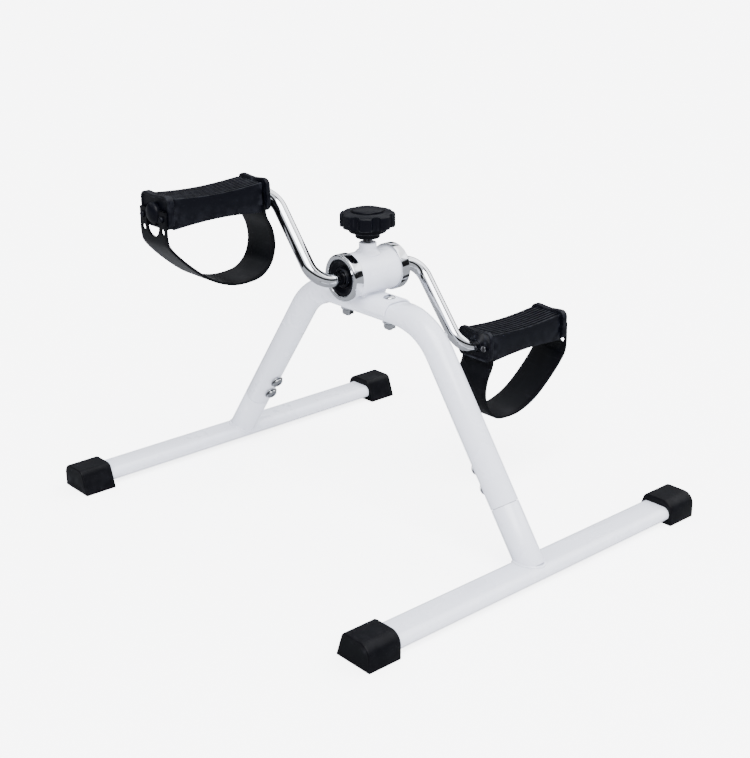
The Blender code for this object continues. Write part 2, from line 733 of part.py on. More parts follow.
def tension_knob(parent, mat):
    """The lobed knob: neck, tier and rim, bored from below for the screw."""
    base = KNOB_BOTTOM - HUB_Z
    tier = base + KNOB_NECK_HEIGHT
    rim = tier + KNOB_TIER_HEIGHT
    top = rim + KNOB_RIM_HEIGHT
    rings = [
        knob_ring(KNOB_NECK_RADIUS, base),
        knob_ring(KNOB_NECK_RADIUS, tier),
        knob_ring(KNOB_TIER_RADIUS, tier),
        knob_ring(KNOB_TIER_RADIUS, rim),
        knob_ring(KNOB_RADIUS - KNOB_EDGE, rim, KNOB_SCALLOP),
        knob_ring(KNOB_RADIUS, rim + KNOB_EDGE, KNOB_SCALLOP),
        knob_ring(KNOB_RADIUS, top - KNOB_EDGE, KNOB_SCALLOP),
        knob_ring(KNOB_RADIUS - KNOB_EDGE, top - KNOB_EDGE / 4, KNOB_SCALLOP),
        knob_ring(KNOB_DISC_RADIUS + KNOB_EDGE, top),
    ]
    knob = add_object("tension_knob", loft(rings), mat, parent)
    hole = rod(SCREW_RADIUS + GAP, (0, 0, base - CUT_REACH), (0, 0, base + SCREW_IN_KNOB + GAP))
    boolean(knob, hole, "DIFFERENCE", parent)


def knob_cover(parent, mat):
    """The domed disc on top of the knob."""
    base = KNOB_BOTTOM + KNOB_NECK_HEIGHT + KNOB_TIER_HEIGHT + KNOB_RIM_HEIGHT + GAP - HUB_Z
    profile = [(0, base), (KNOB_DISC_RADIUS, base), (KNOB_DISC_RADIUS, base + KNOB_DISC_HEIGHT / 2)]
    profile += [(0.9 * KNOB_DISC_RADIUS, base + 0.85 * KNOB_DISC_HEIGHT), (0, base + KNOB_DISC_HEIGHT)]
    add_object("knob_cover", turned(profile), mat, parent)


# ---------------------------------------------------------------- pedals


def waist(x):
    """How far the pedal's top and bottom draw in at a place along it."""
    t = (x - PEDAL_START) / PEDAL_LENGTH
    return PEDAL_WAIST * math.sin(math.pi * t)


def tread_outline(draw):
    """The pedal's section: flat sides, ribbed top and a plain underside."""
    half = PEDAL_WIDTH / 2
    top = PEDAL_TOP - draw
    bottom = -PEDAL_BOTTOM + draw
    outline = arc((half - PEDAL_CORNER, bottom + PEDAL_CORNER), PEDAL_CORNER, -90, 0, 3)
    outline += [(half, top - TREAD_DEPTH), (half - TREAD_CHAMFER, top)]
    pitch = (PEDAL_WIDTH - 2 * TREAD_EDGE) / (TREAD_RIBS + (TREAD_RIBS + 1))
    y = half - TREAD_EDGE
    outline += [(y, top), (y, top - TREAD_DEPTH)]
    for _ in range(TREAD_RIBS):
        y -= pitch
        outline += [(y, top - TREAD_DEPTH), (y, top), (y - pitch, top), (y - pitch, top - TREAD_DEPTH)]
        y -= pitch
    y -= pitch
    outline += [(y, top - TREAD_DEPTH), (y, top)]
    outline += [(TREAD_CHAMFER - half, top), (-half, top - TREAD_DEPTH)]
    outline += arc((PEDAL_CORNER - half, bottom + PEDAL_CORNER), PEDAL_CORNER, 180, 270, 3)
    return outline


def pin_bore(start, end, clearance=RUNNING_GAP):
    """A cutter for the crank's pin, past both ends."""
    return rod(ROD_RADIUS + clearance, (start - CUT_REACH, 0, 0), (end + CUT_REACH, 0, 0), 20)


def screw_hole(side, start, end):
    """A cutter for one end plate screw."""
    y = side * FLANGE_SCREW_Y
    return rod(FLANGE_SCREW_SHANK + GAP, (start, y, 0), (end, y, 0))


def pedal_body(name, parent, mat):
    """The moulded tread, bored for the pin, with a pocket each side of the pin's tube."""
    rings = []
    steps = 6
    for i in range(steps + 1):
        x = PEDAL_START + PEDAL_LENGTH * i / steps
        rings.append([(x, y, z) for y, z in tread_outline(waist(x))])
    body = add_object(name, loft(rings), mat, parent)
    boolean(body, pin_bore(PEDAL_START, PEDAL_END), "DIFFERENCE", parent)
    width = PEDAL_WIDTH / 2 - PEDAL_SHELL - PEDAL_TUBE_RADIUS
    ceiling = PEDAL_TOP - PEDAL_WAIST - TREAD_DEPTH - PEDAL_SHELL
    for side in (-1, 1):
        middle = side * (PEDAL_TUBE_RADIUS + width / 2)
        corners = [(-1, -1), (1, -1), (1, 1), (-1, 1)]
        outline = []
        for across, up in corners:
            z = ceiling if up > 0 else -PEDAL_BOTTOM - CUT_REACH
            outline.append((middle + across * width / 2, z))
        ends = (PEDAL_START + PEDAL_SHELL + FLANGE_SCREW_LENGTH, PEDAL_END - PEDAL_SHELL)
        boolean(body, prism(outline, *ends), "DIFFERENCE", parent)
        depth = FLANGE_SCREW_LENGTH - STRAP_THICKNESS
        boolean(body, screw_hole(side, PEDAL_START - CUT_REACH, PEDAL_START + depth), "DIFFERENCE", parent)


def flange_outline(inset):
    """An end plate's outline, drawn in all round by the inset."""
    width = FLANGE_WIDTH - 2 * inset
    return rounded_box(width, FLANGE_BOTTOM - inset, FLANGE_TOP - inset, FLANGE_CORNER - inset)


def inner_flange(name, parent, mat):
    """The end plate at the crank, over the strap's end, held by two screws."""
    start = PEDAL_OFFSET
    end = start + INNER_FLANGE_THICKNESS
    edge = INNER_FLANGE_EDGE
    rings = []
    for x, inset in ((start, edge), (start + edge, 0), (end, 0)):
        rings.append([(x, y, z) for y, z in flange_outline(inset)])
    plate = add_object(name, loft(rings), mat, parent)
    boolean(plate, pin_bore(start, end), "DIFFERENCE", parent)
    for side in (-1, 1):
        boolean(plate, screw_hole(side, start - CUT_REACH, end + CUT_REACH), "DIFFERENCE", parent)


def flange_screw(name, side, parent, mat):
    seat = (PEDAL_OFFSET - GAP, side * FLANGE_SCREW_Y, 0)
    profile = button_profile(FLANGE_SCREW_RADIUS, FLANGE_SCREW_HEAD, FLANGE_SCREW_SHANK, FLANGE_SCREW_LENGTH)
    add_object(name, turned(profile, seat, (-1, 0, 0), 12), mat, parent)


def outer_flange(name, parent, mat):
    """The end plate away from the crank, with the two pegs that hold the strap's tongues."""
    start = OUTER_FLANGE_START
    end = OUTER_FLANGE_END
    edge = OUTER_FLANGE_EDGE
    rings = []
    for x, inset in ((start, 0), (end - edge, 0), (end, edge)):
        rings.append([(x, y, z) for y, z in flange_outline(inset)])
    plate = add_object(name, loft(rings), mat, parent)
    for side in (-1, 1):
        root = (end - OUTER_FLANGE_THICKNESS / 2, side * PEG_Y, PEG_Z)
        tip = (end + PEG_RISE, side * PEG_Y, PEG_Z)
        boolean(plate, rod(PEG_RADIUS, root, tip, 16), "UNION", parent)
    hole = rod(PUSH_NUT_RADIUS + 2 * GAP, (start - CUT_REACH, 0, 0), (end + CUT_REACH, 0, 0), 20)
    boolean(plate, hole, "DIFFERENCE", parent)


def push_nut(name, parent, mat):
    """The retainer pressed on the pin outside the pedal body."""
    start = PEDAL_END + GAP
    bm = hollow_rod(PUSH_NUT_RADIUS, ROD_RADIUS + GAP, (start, 0, 0), (start + PUSH_NUT_THICKNESS, 0, 0), 16)
    add_object(name, bm, mat, parent)


def axle_cap(name, parent, mat):
    """The dome over the pin's end, plugged into the outer flange."""
    face = OUTER_FLANGE_END + GAP
    plug = PUSH_NUT_RADIUS + GAP
    depth = OUTER_FLANGE_THICKNESS - PIN_END + GAP
    profile = [(0, face - depth), (plug, face - depth), (plug, face), (AXLE_CAP_RADIUS, face)]
    profile.append((AXLE_CAP_RADIUS, face + 0.25 * AXLE_CAP_RISE))
    for i in range(1, 6):
        angle = math.pi / 2 * i / 6
        height = face + AXLE_CAP_RISE * (0.25 + 0.75 * math.sin(angle))
        profile.append((AXLE_CAP_RADIUS * math.cos(angle), height))
    profile.append((0, face + AXLE_CAP_RISE))
    add_object(name, turned(profile, (0, 0, 0), (1, 0, 0), 20), mat, parent)


def strap_path():
    """The strap's centreline in X-Z: from behind the inner flange, under the pedal, to the pegs."""
    start = PEDAL_START - GAP - STRAP_THICKNESS / 2
    end = OUTER_FLANGE_END + GAP + STRAP_THICKNESS / 2
    low = -STRAP_DROP
    fork = PEG_Z - STRAP_FORK_DROP
    span = end - start
    controls = [
        (start, -PEDAL_BOTTOM / 2),
        (start, -FLANGE_BOTTOM),
        (start - 0.015 * span, 0.26 * low),
        (start - 0.07 * span, 0.42 * low),
        (start - 0.09 * span, 0.62 * low),
        (start - 0.05 * span, 0.82 * low),
        (start + 0.04 * span, 0.95 * low),
        (start + 0.16 * span, 1.0 * low),
        (start + 0.36 * span, 0.995 * low),
        (start + 0.58 * span, 0.88 * low),
        (start + 0.79 * span, 0.66 * low),
        (start + 0.96 * span, 0.42 * low),
        (end, fork),
        (end, 0.5 * PEG_Z),
    ]
    return smooth_line(controls, 3)


def smooth_line(controls, steps):
    """A curve through the controls."""
    points = [Vector(control) for control in controls]
    padded = [2 * points[0] - points[1]] + points + [2 * points[-1] - points[-2]]
    line = []
    for a, b, c, d in zip(padded, padded[1:], padded[2:], padded[3:]):
        for i in range(steps):
            t = i / steps
            bend = (2 * a - 5 * b + 4 * c - d) * t**2 + (3 * b - a - 3 * c + d) * t**3
            line.append((2 * b + (c - a) * t + bend) / 2)
    line.append(points[-1])
    return line


def ribbon(line, low_y, high_y):
    """A band of the strap's thickness along a line in X-Z, between two Y values."""
    rings = []
    for i, point in enumerate(line):
        along = (line[min(i + 1, len(line) - 1)] - line[max(i - 1, 0)]).normalized()
        out = Vector((along.y, -along.x)) * STRAP_THICKNESS / 2
        near, far = point + out, point - out
        rings.append(
            [(near.x, low_y, near.y), (near.x, high_y, near.y), (far.x, high_y, far.y), (far.x, low_y, far.y)]
        )
    return loft(rings)


def pedal_strap(name, parent, mat):
    """The foot strap: a plain band, forked into two tongues at its outer end, two holes a tongue."""
    line = strap_path()
    fork = len(line) - 4
    strap = add_object(name, ribbon(line[: fork + 1], -STRAP_WIDTH / 2, STRAP_WIDTH / 2), mat, parent)
    for side in (-1, 1):
        edges = sorted((side * (PEG_Y - STRAP_TONGUE / 2), side * (PEG_Y + STRAP_TONGUE / 2)))
        tongue_line = line[fork - 1 :]
        tip = tongue_line[-1] + Vector((0, STRAP_TONGUE / 2 - 0.5 * PEG_Z))
        boolean(strap, ribbon(tongue_line + [tip], *edges), "UNION", parent)
        for z in (PEG_Z, PEG_Z - STRAP_HOLE_PITCH):
            low = (OUTER_FLANGE_END - GAP, side * PEG_Y, z)
            high = (OUTER_FLANGE_END + PEG_RISE + CUT_REACH, side * PEG_Y, z)
            boolean(strap, rod(PEG_RADIUS + GAP, low, high, 16), "DIFFERENCE", parent)
        boolean(strap, screw_hole(side, PEDAL_OFFSET, PEDAL_START + STRAP_SLACK), "DIFFERENCE", parent)
    pin_hole = rod(ROD_RADIUS + 2 * RUNNING_GAP, (PEDAL_OFFSET, 0, 0), (PEDAL_START + STRAP_SLACK, 0, 0), 20)
    boolean(strap, pin_hole, "DIFFERENCE", parent)


def pedal(side_name, parent, plastic, rubber, chrome, screw_steel):
    """All the pieces that turn together on one pin."""
    pedal_body(f"{side_name}_pedal_body", parent, plastic)
    inner_flange(f"{side_name}_pedal_inner_flange", parent, plastic)
    outer_flange(f"{side_name}_pedal_outer_flange", parent, plastic)
    axle_cap(f"{side_name}_pedal_axle_cap", parent, plastic)
    push_nut(f"{side_name}_pedal_push_nut", parent, chrome)
    pedal_strap(f"{side_name}_pedal_strap", parent, rubber)
    for number, side in ((1, -1), (2, 1)):
        flange_screw(f"{side_name}_pedal_screw_{number}", side, parent, screw_steel)


# ---------------------------------------------------------------- assembly


def build():
    for obj in list(bpy.data.objects):
        bpy.data.objects.remove(obj)
    paint = white_paint()
    chrome = bright_chrome()
    zinc = zinc_steel()
    screw_steel = black_steel()
    plastic = black_plastic()
    rubber = black_rubber()
    felt = brake_felt()

    for place, side in (("front", -1), ("rear", 1)):
        base_bar(f"{place}_base_bar", side, paint)
        leg_sleeve(f"{place}_leg_sleeve", side, zinc)
        saddle_bolt(f"{place}_saddle_bolt", side, chrome)
        saddle_nut(f"{place}_saddle_nut", side, chrome)
        for end_name, end in (("left", -1), ("right", 1)):
            foot_cap(f"{place}_{end_name}_foot_cap", side, end, rubber)
        for index, level in enumerate(("lower", "upper")):
            leg_bolt(f"{place}_{level}_leg_bolt", side, index, chrome)
            leg_washer(f"{place}_{level}_leg_washer", side, index, chrome)
    arch_tube(paint)
    hub_housing(paint)
    for end_name, end in (("left", -1), ("right", 1)):
        hub_ring(f"{end_name}_hub_ring", end, chrome)
        hub_bush(f"{end_name}_hub_bush", end, plastic)

    crank_axis = add_empty("crank_axis", (0, 0, HUB_Z))
    crank(crank_axis, chrome)
    friction_drum(crank_axis, zinc)
    brake_shoe(add_empty("brake_axis", (0, 0, HUB_Z)), felt)
    knob_axis = add_empty("knob_axis", (0, 0, HUB_Z))
    tension_screw(knob_axis, zinc)
    tension_knob(knob_axis, plastic)
    knob_cover(knob_axis, plastic)

    right_pin = add_empty("right_pedal_axis", (CRANK_HALF_WIDTH, -PIN_Y, HUB_Z - PIN_Z))
    left_pin = add_empty("left_pedal_axis", (-CRANK_HALF_WIDTH, PIN_Y, HUB_Z + PIN_Z), math.pi)
    pedal("right", right_pin, plastic, rubber, chrome, screw_steel)
    pedal("left", left_pin, plastic, rubber, chrome, screw_steel)


build()
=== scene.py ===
"""Pedal exerciser: the fine surfaces and finishes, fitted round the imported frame. Metres, +Z up."""

import json
import math

import bmesh
import bpy
from mathutils import Matrix, Vector


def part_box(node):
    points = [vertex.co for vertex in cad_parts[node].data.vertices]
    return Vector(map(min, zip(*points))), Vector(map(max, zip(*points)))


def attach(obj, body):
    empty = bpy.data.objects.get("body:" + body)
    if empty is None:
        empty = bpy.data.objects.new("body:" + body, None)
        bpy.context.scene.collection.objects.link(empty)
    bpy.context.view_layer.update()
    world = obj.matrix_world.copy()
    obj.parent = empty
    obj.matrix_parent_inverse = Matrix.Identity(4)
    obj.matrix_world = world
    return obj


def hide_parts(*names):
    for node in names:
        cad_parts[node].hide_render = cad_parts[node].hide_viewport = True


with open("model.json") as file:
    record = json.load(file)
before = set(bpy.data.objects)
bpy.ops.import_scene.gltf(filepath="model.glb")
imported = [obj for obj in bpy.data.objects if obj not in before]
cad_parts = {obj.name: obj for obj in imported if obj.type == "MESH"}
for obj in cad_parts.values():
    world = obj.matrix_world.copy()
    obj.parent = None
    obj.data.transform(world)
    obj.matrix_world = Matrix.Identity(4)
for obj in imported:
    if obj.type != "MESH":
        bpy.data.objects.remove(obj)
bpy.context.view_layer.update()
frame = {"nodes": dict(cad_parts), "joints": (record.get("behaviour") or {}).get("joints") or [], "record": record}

MM = 0.001
GAP = 0.3 * MM


def joint_place(name):
    """A point on a joint's axis."""
    return Vector(next(j["pos_m"] for j in frame["joints"] if j["name"] == name))


# Places, read from the frame
HUB = joint_place("crank_spin")
PINS = {"left": joint_place("left_pedal_spin"), "right": joint_place("right_pedal_spin")}
CRANK_ARM = PINS["left"].yz - HUB.yz
CRANK_RADIUS = CRANK_ARM.length
CRANK_HALF_WIDTH = PINS["right"].x
PIN_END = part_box("crank")[1].x
BAR_LOW, BAR_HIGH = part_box("rear_base_bar")
CAP_LOW, CAP_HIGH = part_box("rear_right_foot_cap")
ARCH_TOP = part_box("arch_tube")[1].z
HUB_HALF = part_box("hub_housing")[1].x
RING_LOW, RING_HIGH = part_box("right_hub_ring")
BOSS_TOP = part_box("hub_housing")[1].z
KNOB_LOW, KNOB_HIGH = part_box("tension_knob")
COVER_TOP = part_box("knob_cover")[1].z
STRAP_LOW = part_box("right_pedal_strap")[0]

# Base and arch
BAR_SIZE = Vector((31, 13.4)) * MM
BAR_Y = BAR_HIGH.y - BAR_SIZE.x / 2
BAR_Z = BAR_LOW.z + BAR_SIZE.y / 2
LEG_RADIUS = 12.7 * MM
LEG_WALL = 1.5 * MM
FLAT_HALF_HEIGHT = 9 * MM
ARCH_Z = ARCH_TOP - FLAT_HALF_HEIGHT
ARCH_CORNER_Y = 77 * MM
ARCH_BEND_RADIUS = 60 * MM
LEG_ANGLE = math.atan2(ARCH_Z - BAR_Z, BAR_Y - ARCH_CORNER_Y)
BEND_START_Y = ARCH_CORNER_Y - ARCH_BEND_RADIUS * math.tan(LEG_ANGLE / 2)
FLAT_START = 40.3 * MM
FLAT_RUNOUT = 26 * MM
SEAM_Z = 58 * MM
LEG_BOLTS = {"lower": 19.5 * MM, "upper": 38 * MM}
BUTTON_RADIUS = 5.6 * MM
CAP_LEAN = math.radians(19)
CAP_INNER_ROUND = 11 * MM
CAP_OUTER_ROUND = 4.3 * MM

# Hub
HUB_RADIUS = 20 * MM
HUB_BORE = 17 * MM
HUB_SINK = 0.4 * MM
SADDLE_TOP = HUB.z - HUB_RADIUS + HUB_SINK
SADDLE_LENGTH = 80 * MM
SADDLE_SHEET = 2 * MM
SADDLE_BOLT_Y = 29 * MM
BOSS_RADIUS = 8 * MM
SCREW_RADIUS = 4 * MM
SCREW_PITCH = 1.25 * MM
KNOB_LOBES = 8
ROD_RADIUS = 6.35 * MM
CRANK_BEND = 19 * MM

# Pedals, measured outward from the crank arm's plane
FLANGE_INNER = (17 * MM, 21 * MM)
TREAD = (23.8 * MM, 115.8 * MM)
FLANGE_OUTER = (116.1 * MM, 122.1 * MM)
FLANGE_HALF = 21 * MM
FLANGE_Z = (-12.5 * MM, 16 * MM)
TREAD_HALF = 18 * MM
TREAD_Z = 13.2 * MM
TREAD_WAIST = 2.6 * MM
RIBS = 7
RIB_RISE = 1.3 * MM
PEG_Y = 14.3 * MM
PEG_Z = -3 * MM
SCREW_Y = 12.5 * MM
CAP_RADIUS = 9 * MM
STRAP_THICKNESS = 2.2 * MM
STRAP_HALF = 19.3 * MM
TONGUE_HALF = 5 * MM
TONGUE_HOLE_PITCH = 11 * MM
FORK_Z = PEG_Z - 17 * MM


# ---------------------------------------------------------------- working in edit mode


def activate(piece):
    """Select one piece alone."""
    bpy.ops.object.select_all(action="DESELECT")
    piece.select_set(True)
    bpy.context.view_layer.objects.active = piece


def open_up(piece, mode="VERT", everything=False):
    """Enter edit mode on a piece with nothing selected, or all of it."""
    activate(piece)
    bpy.ops.object.mode_set(mode="EDIT")
    bpy.ops.mesh.select_mode(type=mode)
    bpy.ops.mesh.select_all(action="SELECT" if everything else "DESELECT")


def close_up():
    bpy.ops.object.mode_set(mode="OBJECT")


def pick(piece, kind, test):
    """Select only the verts, edges or faces that pass a test."""
    bpy.ops.mesh.select_all(action="DESELECT")
    shape = bmesh.from_edit_mesh(piece.data)
    for item in getattr(shape, kind):
        if test(item):
            item.select_set(True)
    bmesh.update_edit_mesh(piece.data)


def middle(item):
    """The centre of an edge or a face."""
    points = [vert.co for vert in item.verts]
    return sum(points, Vector()) / len(points)


def runs_along(edge, axis):
    way = edge.verts[1].co - edge.verts[0].co
    return abs(way.normalized()[axis]) > 0.999


def settle(piece):
    """Put the piece's place into its mesh."""
    activate(piece)
    bpy.ops.object.transform_apply(location=True, rotation=True, scale=True)
    return piece


def facing(axis):
    return Vector((0, 0, 1)).rotation_difference(Vector(axis)).to_euler()


def circle(name, radius, centre, axis=(0, 0, 1), steps=64, filled=False):
    bpy.ops.object.select_all(action="DESELECT")
    fill = "NGON" if filled else "NOTHING"
    bpy.ops.mesh.primitive_circle_add(
        vertices=steps, radius=radius, fill_type=fill, location=centre, rotation=facing(axis)
    )
    piece = bpy.context.object
    piece.name = name
    piece.data.name = name
    return settle(piece)


def block(name, low, high):
    low, high = Vector(low), Vector(high)
    bpy.ops.object.select_all(action="DESELECT")
    bpy.ops.mesh.primitive_cube_add(size=1, location=(low + high) / 2, scale=high - low)
    piece = bpy.context.object
    piece.name = name
    piece.data.name = name
    return settle(piece)


def extrude(way):
    bpy.ops.mesh.extrude_region_move(TRANSFORM_OT_translate={"value": way})


def bend(angle, centre, axis, steps):
    """Sweep the selected ring round an axis by a right-handed angle."""
    bpy.ops.mesh.spin(steps=steps, angle=-angle, center=centre, axis=axis)


def shift(way):
    bpy.ops.transform.translate(value=way)


def scale(factors, centre):
    bpy.ops.transform.resize(value=factors, center_override=centre)


def face_out(piece):
    open_up(piece, everything=True)
    bpy.ops.mesh.remove_doubles(threshold=0.002 * MM)
    bpy.ops.mesh.normals_make_consistent(inside=False)
    close_up()


def modify(piece, kind, **settings):
    """Add a modifier and apply it."""
    activate(piece)
    modifier = piece.modifiers.new(kind.lower(), kind)
    for key, value in settings.items():
        setattr(modifier, key, value)
    bpy.ops.object.modifier_apply(modifier=modifier.name)


def soften(piece, width, segments=3, sharp=35):
    """Round every edge sharper than an angle."""
    limit = math.radians(sharp)
    modify(piece, "BEVEL", width=width, segments=segments, limit_method="ANGLE", angle_limit=limit)


def smooth(piece, sharp=35):
    activate(piece)
    bpy.ops.object.shade_smooth_by_angle(angle=math.radians(sharp))
    return piece


def cut(piece, tool):
    modify(piece, "BOOLEAN", operation="DIFFERENCE", solver="EXACT", object=tool)
    bpy.data.objects.remove(tool)


def weld_on(piece, tool):
    modify(piece, "BOOLEAN", operation="UNION", solver="EXACT", object=tool)
    bpy.data.objects.remove(tool)


def copy_of(piece, name):
    twin = piece.copy()
    twin.data = piece.data.copy()
    twin.name = name
    twin.data.name = name
    bpy.context.scene.collection.objects.link(twin)
    return twin


def mirrored(piece, name, factors):
    """A copy mirrored through the origin's planes, turned right side out again."""
    twin = copy_of(piece, name)
    twin.scale = factors
    settle(twin)
    if factors[0] * factors[1] * factors[2] < 0:
        face_out(twin)
    return twin


def turned(name, profile, centre, axis=(0, 0, 1), steps=64, looped=False):
    """Extrude a ring through (radius, height) points along an axis; a looped profile closes on itself."""
    points = list(profile)
    filled = points[0][0] == 0
    if filled:
        points.pop(0)
    if looped:
        points.append(points[0])
    radius, height = points.pop(0)
    piece = circle(name, radius, (0, 0, height), steps=steps, filled=filled)
    open_up(piece, everything=True)
    for next_radius, next_height in points:
        extrude((0, 0, next_height - height))
        height = next_height
        if next_radius == 0:
            bpy.ops.mesh.merge(type="CENTER")
        elif next_radius != radius:
            factor = next_radius / radius
            scale((factor, factor, 1), (0, 0, height))
        radius = next_radius
    close_up()
    piece.rotation_euler = facing(axis)
    piece.location = centre
    settle(piece)
    face_out(piece)
    return piece


def pin(name, radius, start, end, steps=64):
    """A plain round bar, closed at both ends."""
    start, end = Vector(start), Vector(end)
    length = (end - start).length
    return turned(name, [(0, 0), (radius, 0), (radius, length)], start, end - start, steps)


def arc(centre, radius, start, end, steps):
    """Points on an arc; angles in degrees."""
    points = []
    for i in range(steps + 1):
        angle = math.radians(start + (end - start) * i / steps)
        points.append((centre[0] + radius * math.cos(angle), centre[1] + radius * math.sin(angle)))
    return points


def bead(name, points, thickness, closed=False):
    """A weld bead along a line, a little uneven as weld metal is."""
    curve = bpy.data.curves.new(name, "CURVE")
    curve.dimensions = "3D"
    curve.bevel_depth = thickness
    curve.bevel_resolution = 5
    curve.use_fill_caps = not closed
    spline = curve.splines.new("POLY")
    spline.points.add(len(points) - 1)
    for i, (knot, point) in enumerate(zip(spline.points, points)):
        knot.co = (*point, 1)
        knot.radius = 1 + 0.07 * math.sin(2.4 * i)
    spline.use_cyclic_u = closed
    piece = bpy.data.objects.new(name, curve)
    bpy.context.scene.collection.objects.link(piece)
    activate(piece)
    bpy.ops.object.convert(target="MESH")
    piece = bpy.context.object
    face_out(piece)
    return piece


# ---------------------------------------------------------------- finishes


def socket_group(name, inputs, outputs):
    """A new shader group with named value inputs and outputs."""
    group = bpy.data.node_groups.new(name, "ShaderNodeTree")
    for label, default in inputs:
        socket = group.interface.new_socket(label, in_out="INPUT", socket_type="NodeSocketFloat")
        socket.default_value = default
    for label in outputs:
        group.interface.new_socket(label, in_out="OUTPUT", socket_type="NodeSocketFloat")
    return group, group.nodes.new("NodeGroupInput"), group.nodes.new("NodeGroupOutput")


def noise_in(tree, scale_from, detail, roughness=0.5):
    """Noise on object coordinates, its scale taken from a socket or a number."""
    place = tree.nodes.new("ShaderNodeTexCoord")
    noise = tree.nodes.new("ShaderNodeTexNoise")
    noise.inputs["Detail"].default_value = detail
    noise.inputs["Roughness"].default_value = roughness
    tree.links.new(place.outputs["Object"], noise.inputs["Vector"])
    if isinstance(scale_from, (int, float)):
        noise.inputs["Scale"].default_value = scale_from
    else:
        tree.links.new(scale_from, noise.inputs["Scale"])
    return noise.outputs["Fac"]


def stretch(tree, value, low, high, to_low=0.0, to_high=1.0):
    """Map a span of a value onto another, clamped."""
    node = tree.nodes.new("ShaderNodeMapRange")
    tree.links.new(value, node.inputs["Value"])
    for label, amount in (("From Min", low), ("From Max", high), ("To Min", to_low), ("To Max", to_high)):
        node.inputs[label].default_value = amount
    return node.outputs["Result"]


def combine(tree, first, second, operation="MULTIPLY"):
    """Multiply two values, or join them by another operation; the second may be a number."""
    node = tree.nodes.new("ShaderNodeMath")
    node.operation = operation
    tree.links.new(first, node.inputs[0])
    if isinstance(second, (int, float)):
        node.inputs[1].default_value = second
    else:
        tree.links.new(second, node.inputs[1])
    return node.outputs["Value"]


def grain_group():
    """Fine moulded or sprayed grain over a broad unevenness: a height."""
    scales = [("Fine Scale", 900), ("Broad Scale", 60)]
    group, entry, leave = socket_group("surface_grain", scales, ["Height"])
    fine = noise_in(group, entry.outputs["Fine Scale"], 2)
    broad = noise_in(group, entry.outputs["Broad Scale"], 1)
    total = combine(group, combine(group, fine, 0.35), combine(group, broad, 0.65), "ADD")
    group.links.new(total, leave.inputs["Height"])
    return group


def wear_and_highlight_group():
    """Edge brightening, for rubbing wear and for a painted highlight on edges: a mask from the surface's
    pointiness, broken up by noise.
    """
    group, entry, leave = socket_group("edge_wear", [("Amount", 0.5), ("Patch Scale", 70)], ["Mask"])
    geometry = group.nodes.new("ShaderNodeNewGeometry")
    edge = stretch(group, geometry.outputs["Pointiness"], 0.515, 0.6)
    patches = stretch(group, noise_in(group, entry.outputs["Patch Scale"], 4), 0.42, 0.62)
    mask = combine(group, combine(group, edge, patches), entry.outputs["Amount"])
    group.links.new(mask, leave.inputs["Mask"])
    return group


def dust_group():
    """Handling marks and settled dust: soft clouds, a little denser on faces that look up."""
    group, entry, leave = socket_group("dust", [("Amount", 0.3), ("Cloud Scale", 14)], ["Mask"])
    clouds = stretch(group, noise_in(group, entry.outputs["Cloud Scale"], 6, 0.62), 0.38, 0.72)
    geometry = group.nodes.new("ShaderNodeNewGeometry")
    split = group.nodes.new("ShaderNodeSeparateXYZ")
    group.links.new(geometry.outputs["Normal"], split.inputs["Vector"])
    upward = stretch(group, split.outputs["Z"], -0.4, 1.0, 0.35, 1.0)
    mask = combine(group, combine(group, clouds, upward), entry.outputs["Amount"])
    group.links.new(mask, leave.inputs["Mask"])
    return group


def hairline_group():
    """Fine hairlines from polishing and handling: a mask of thin stretched streaks."""
    group, entry, leave = socket_group("hairlines", [("Scale", 40), ("Amount", 0.5)], ["Mask"])
    place = group.nodes.new("ShaderNodeTexCoord")
    total = None
    for turn, squeeze in ((0.4, (1, 22, 1)), (1.3, (22, 1, 6)), (2.2, (3, 1, 22))):
        mapping = group.nodes.new("ShaderNodeMapping")
        mapping.inputs["Rotation"].default_value = (turn, 0.6 * turn, turn)
        mapping.inputs["Scale"].default_value = squeeze
        noise = group.nodes.new("ShaderNodeTexNoise")
        noise.inputs["Detail"].default_value = 3
        group.links.new(place.outputs["Object"], mapping.inputs["Vector"])
        group.links.new(mapping.outputs["Vector"], noise.inputs["Vector"])
        group.links.new(entry.outputs["Scale"], noise.inputs["Scale"])
        lines = stretch(group, noise.outputs["Fac"], 0.6, 0.72)
        total = lines if total is None else combine(group, total, lines, "MAXIMUM")
    mask = combine(group, total, entry.outputs["Amount"])
    group.links.new(mask, leave.inputs["Mask"])
    return group


GRAIN, WEAR_AND_HIGHLIGHT, DUST, HAIRLINES = grain_group(), wear_and_highlight_group(), dust_group(), hairline_group()


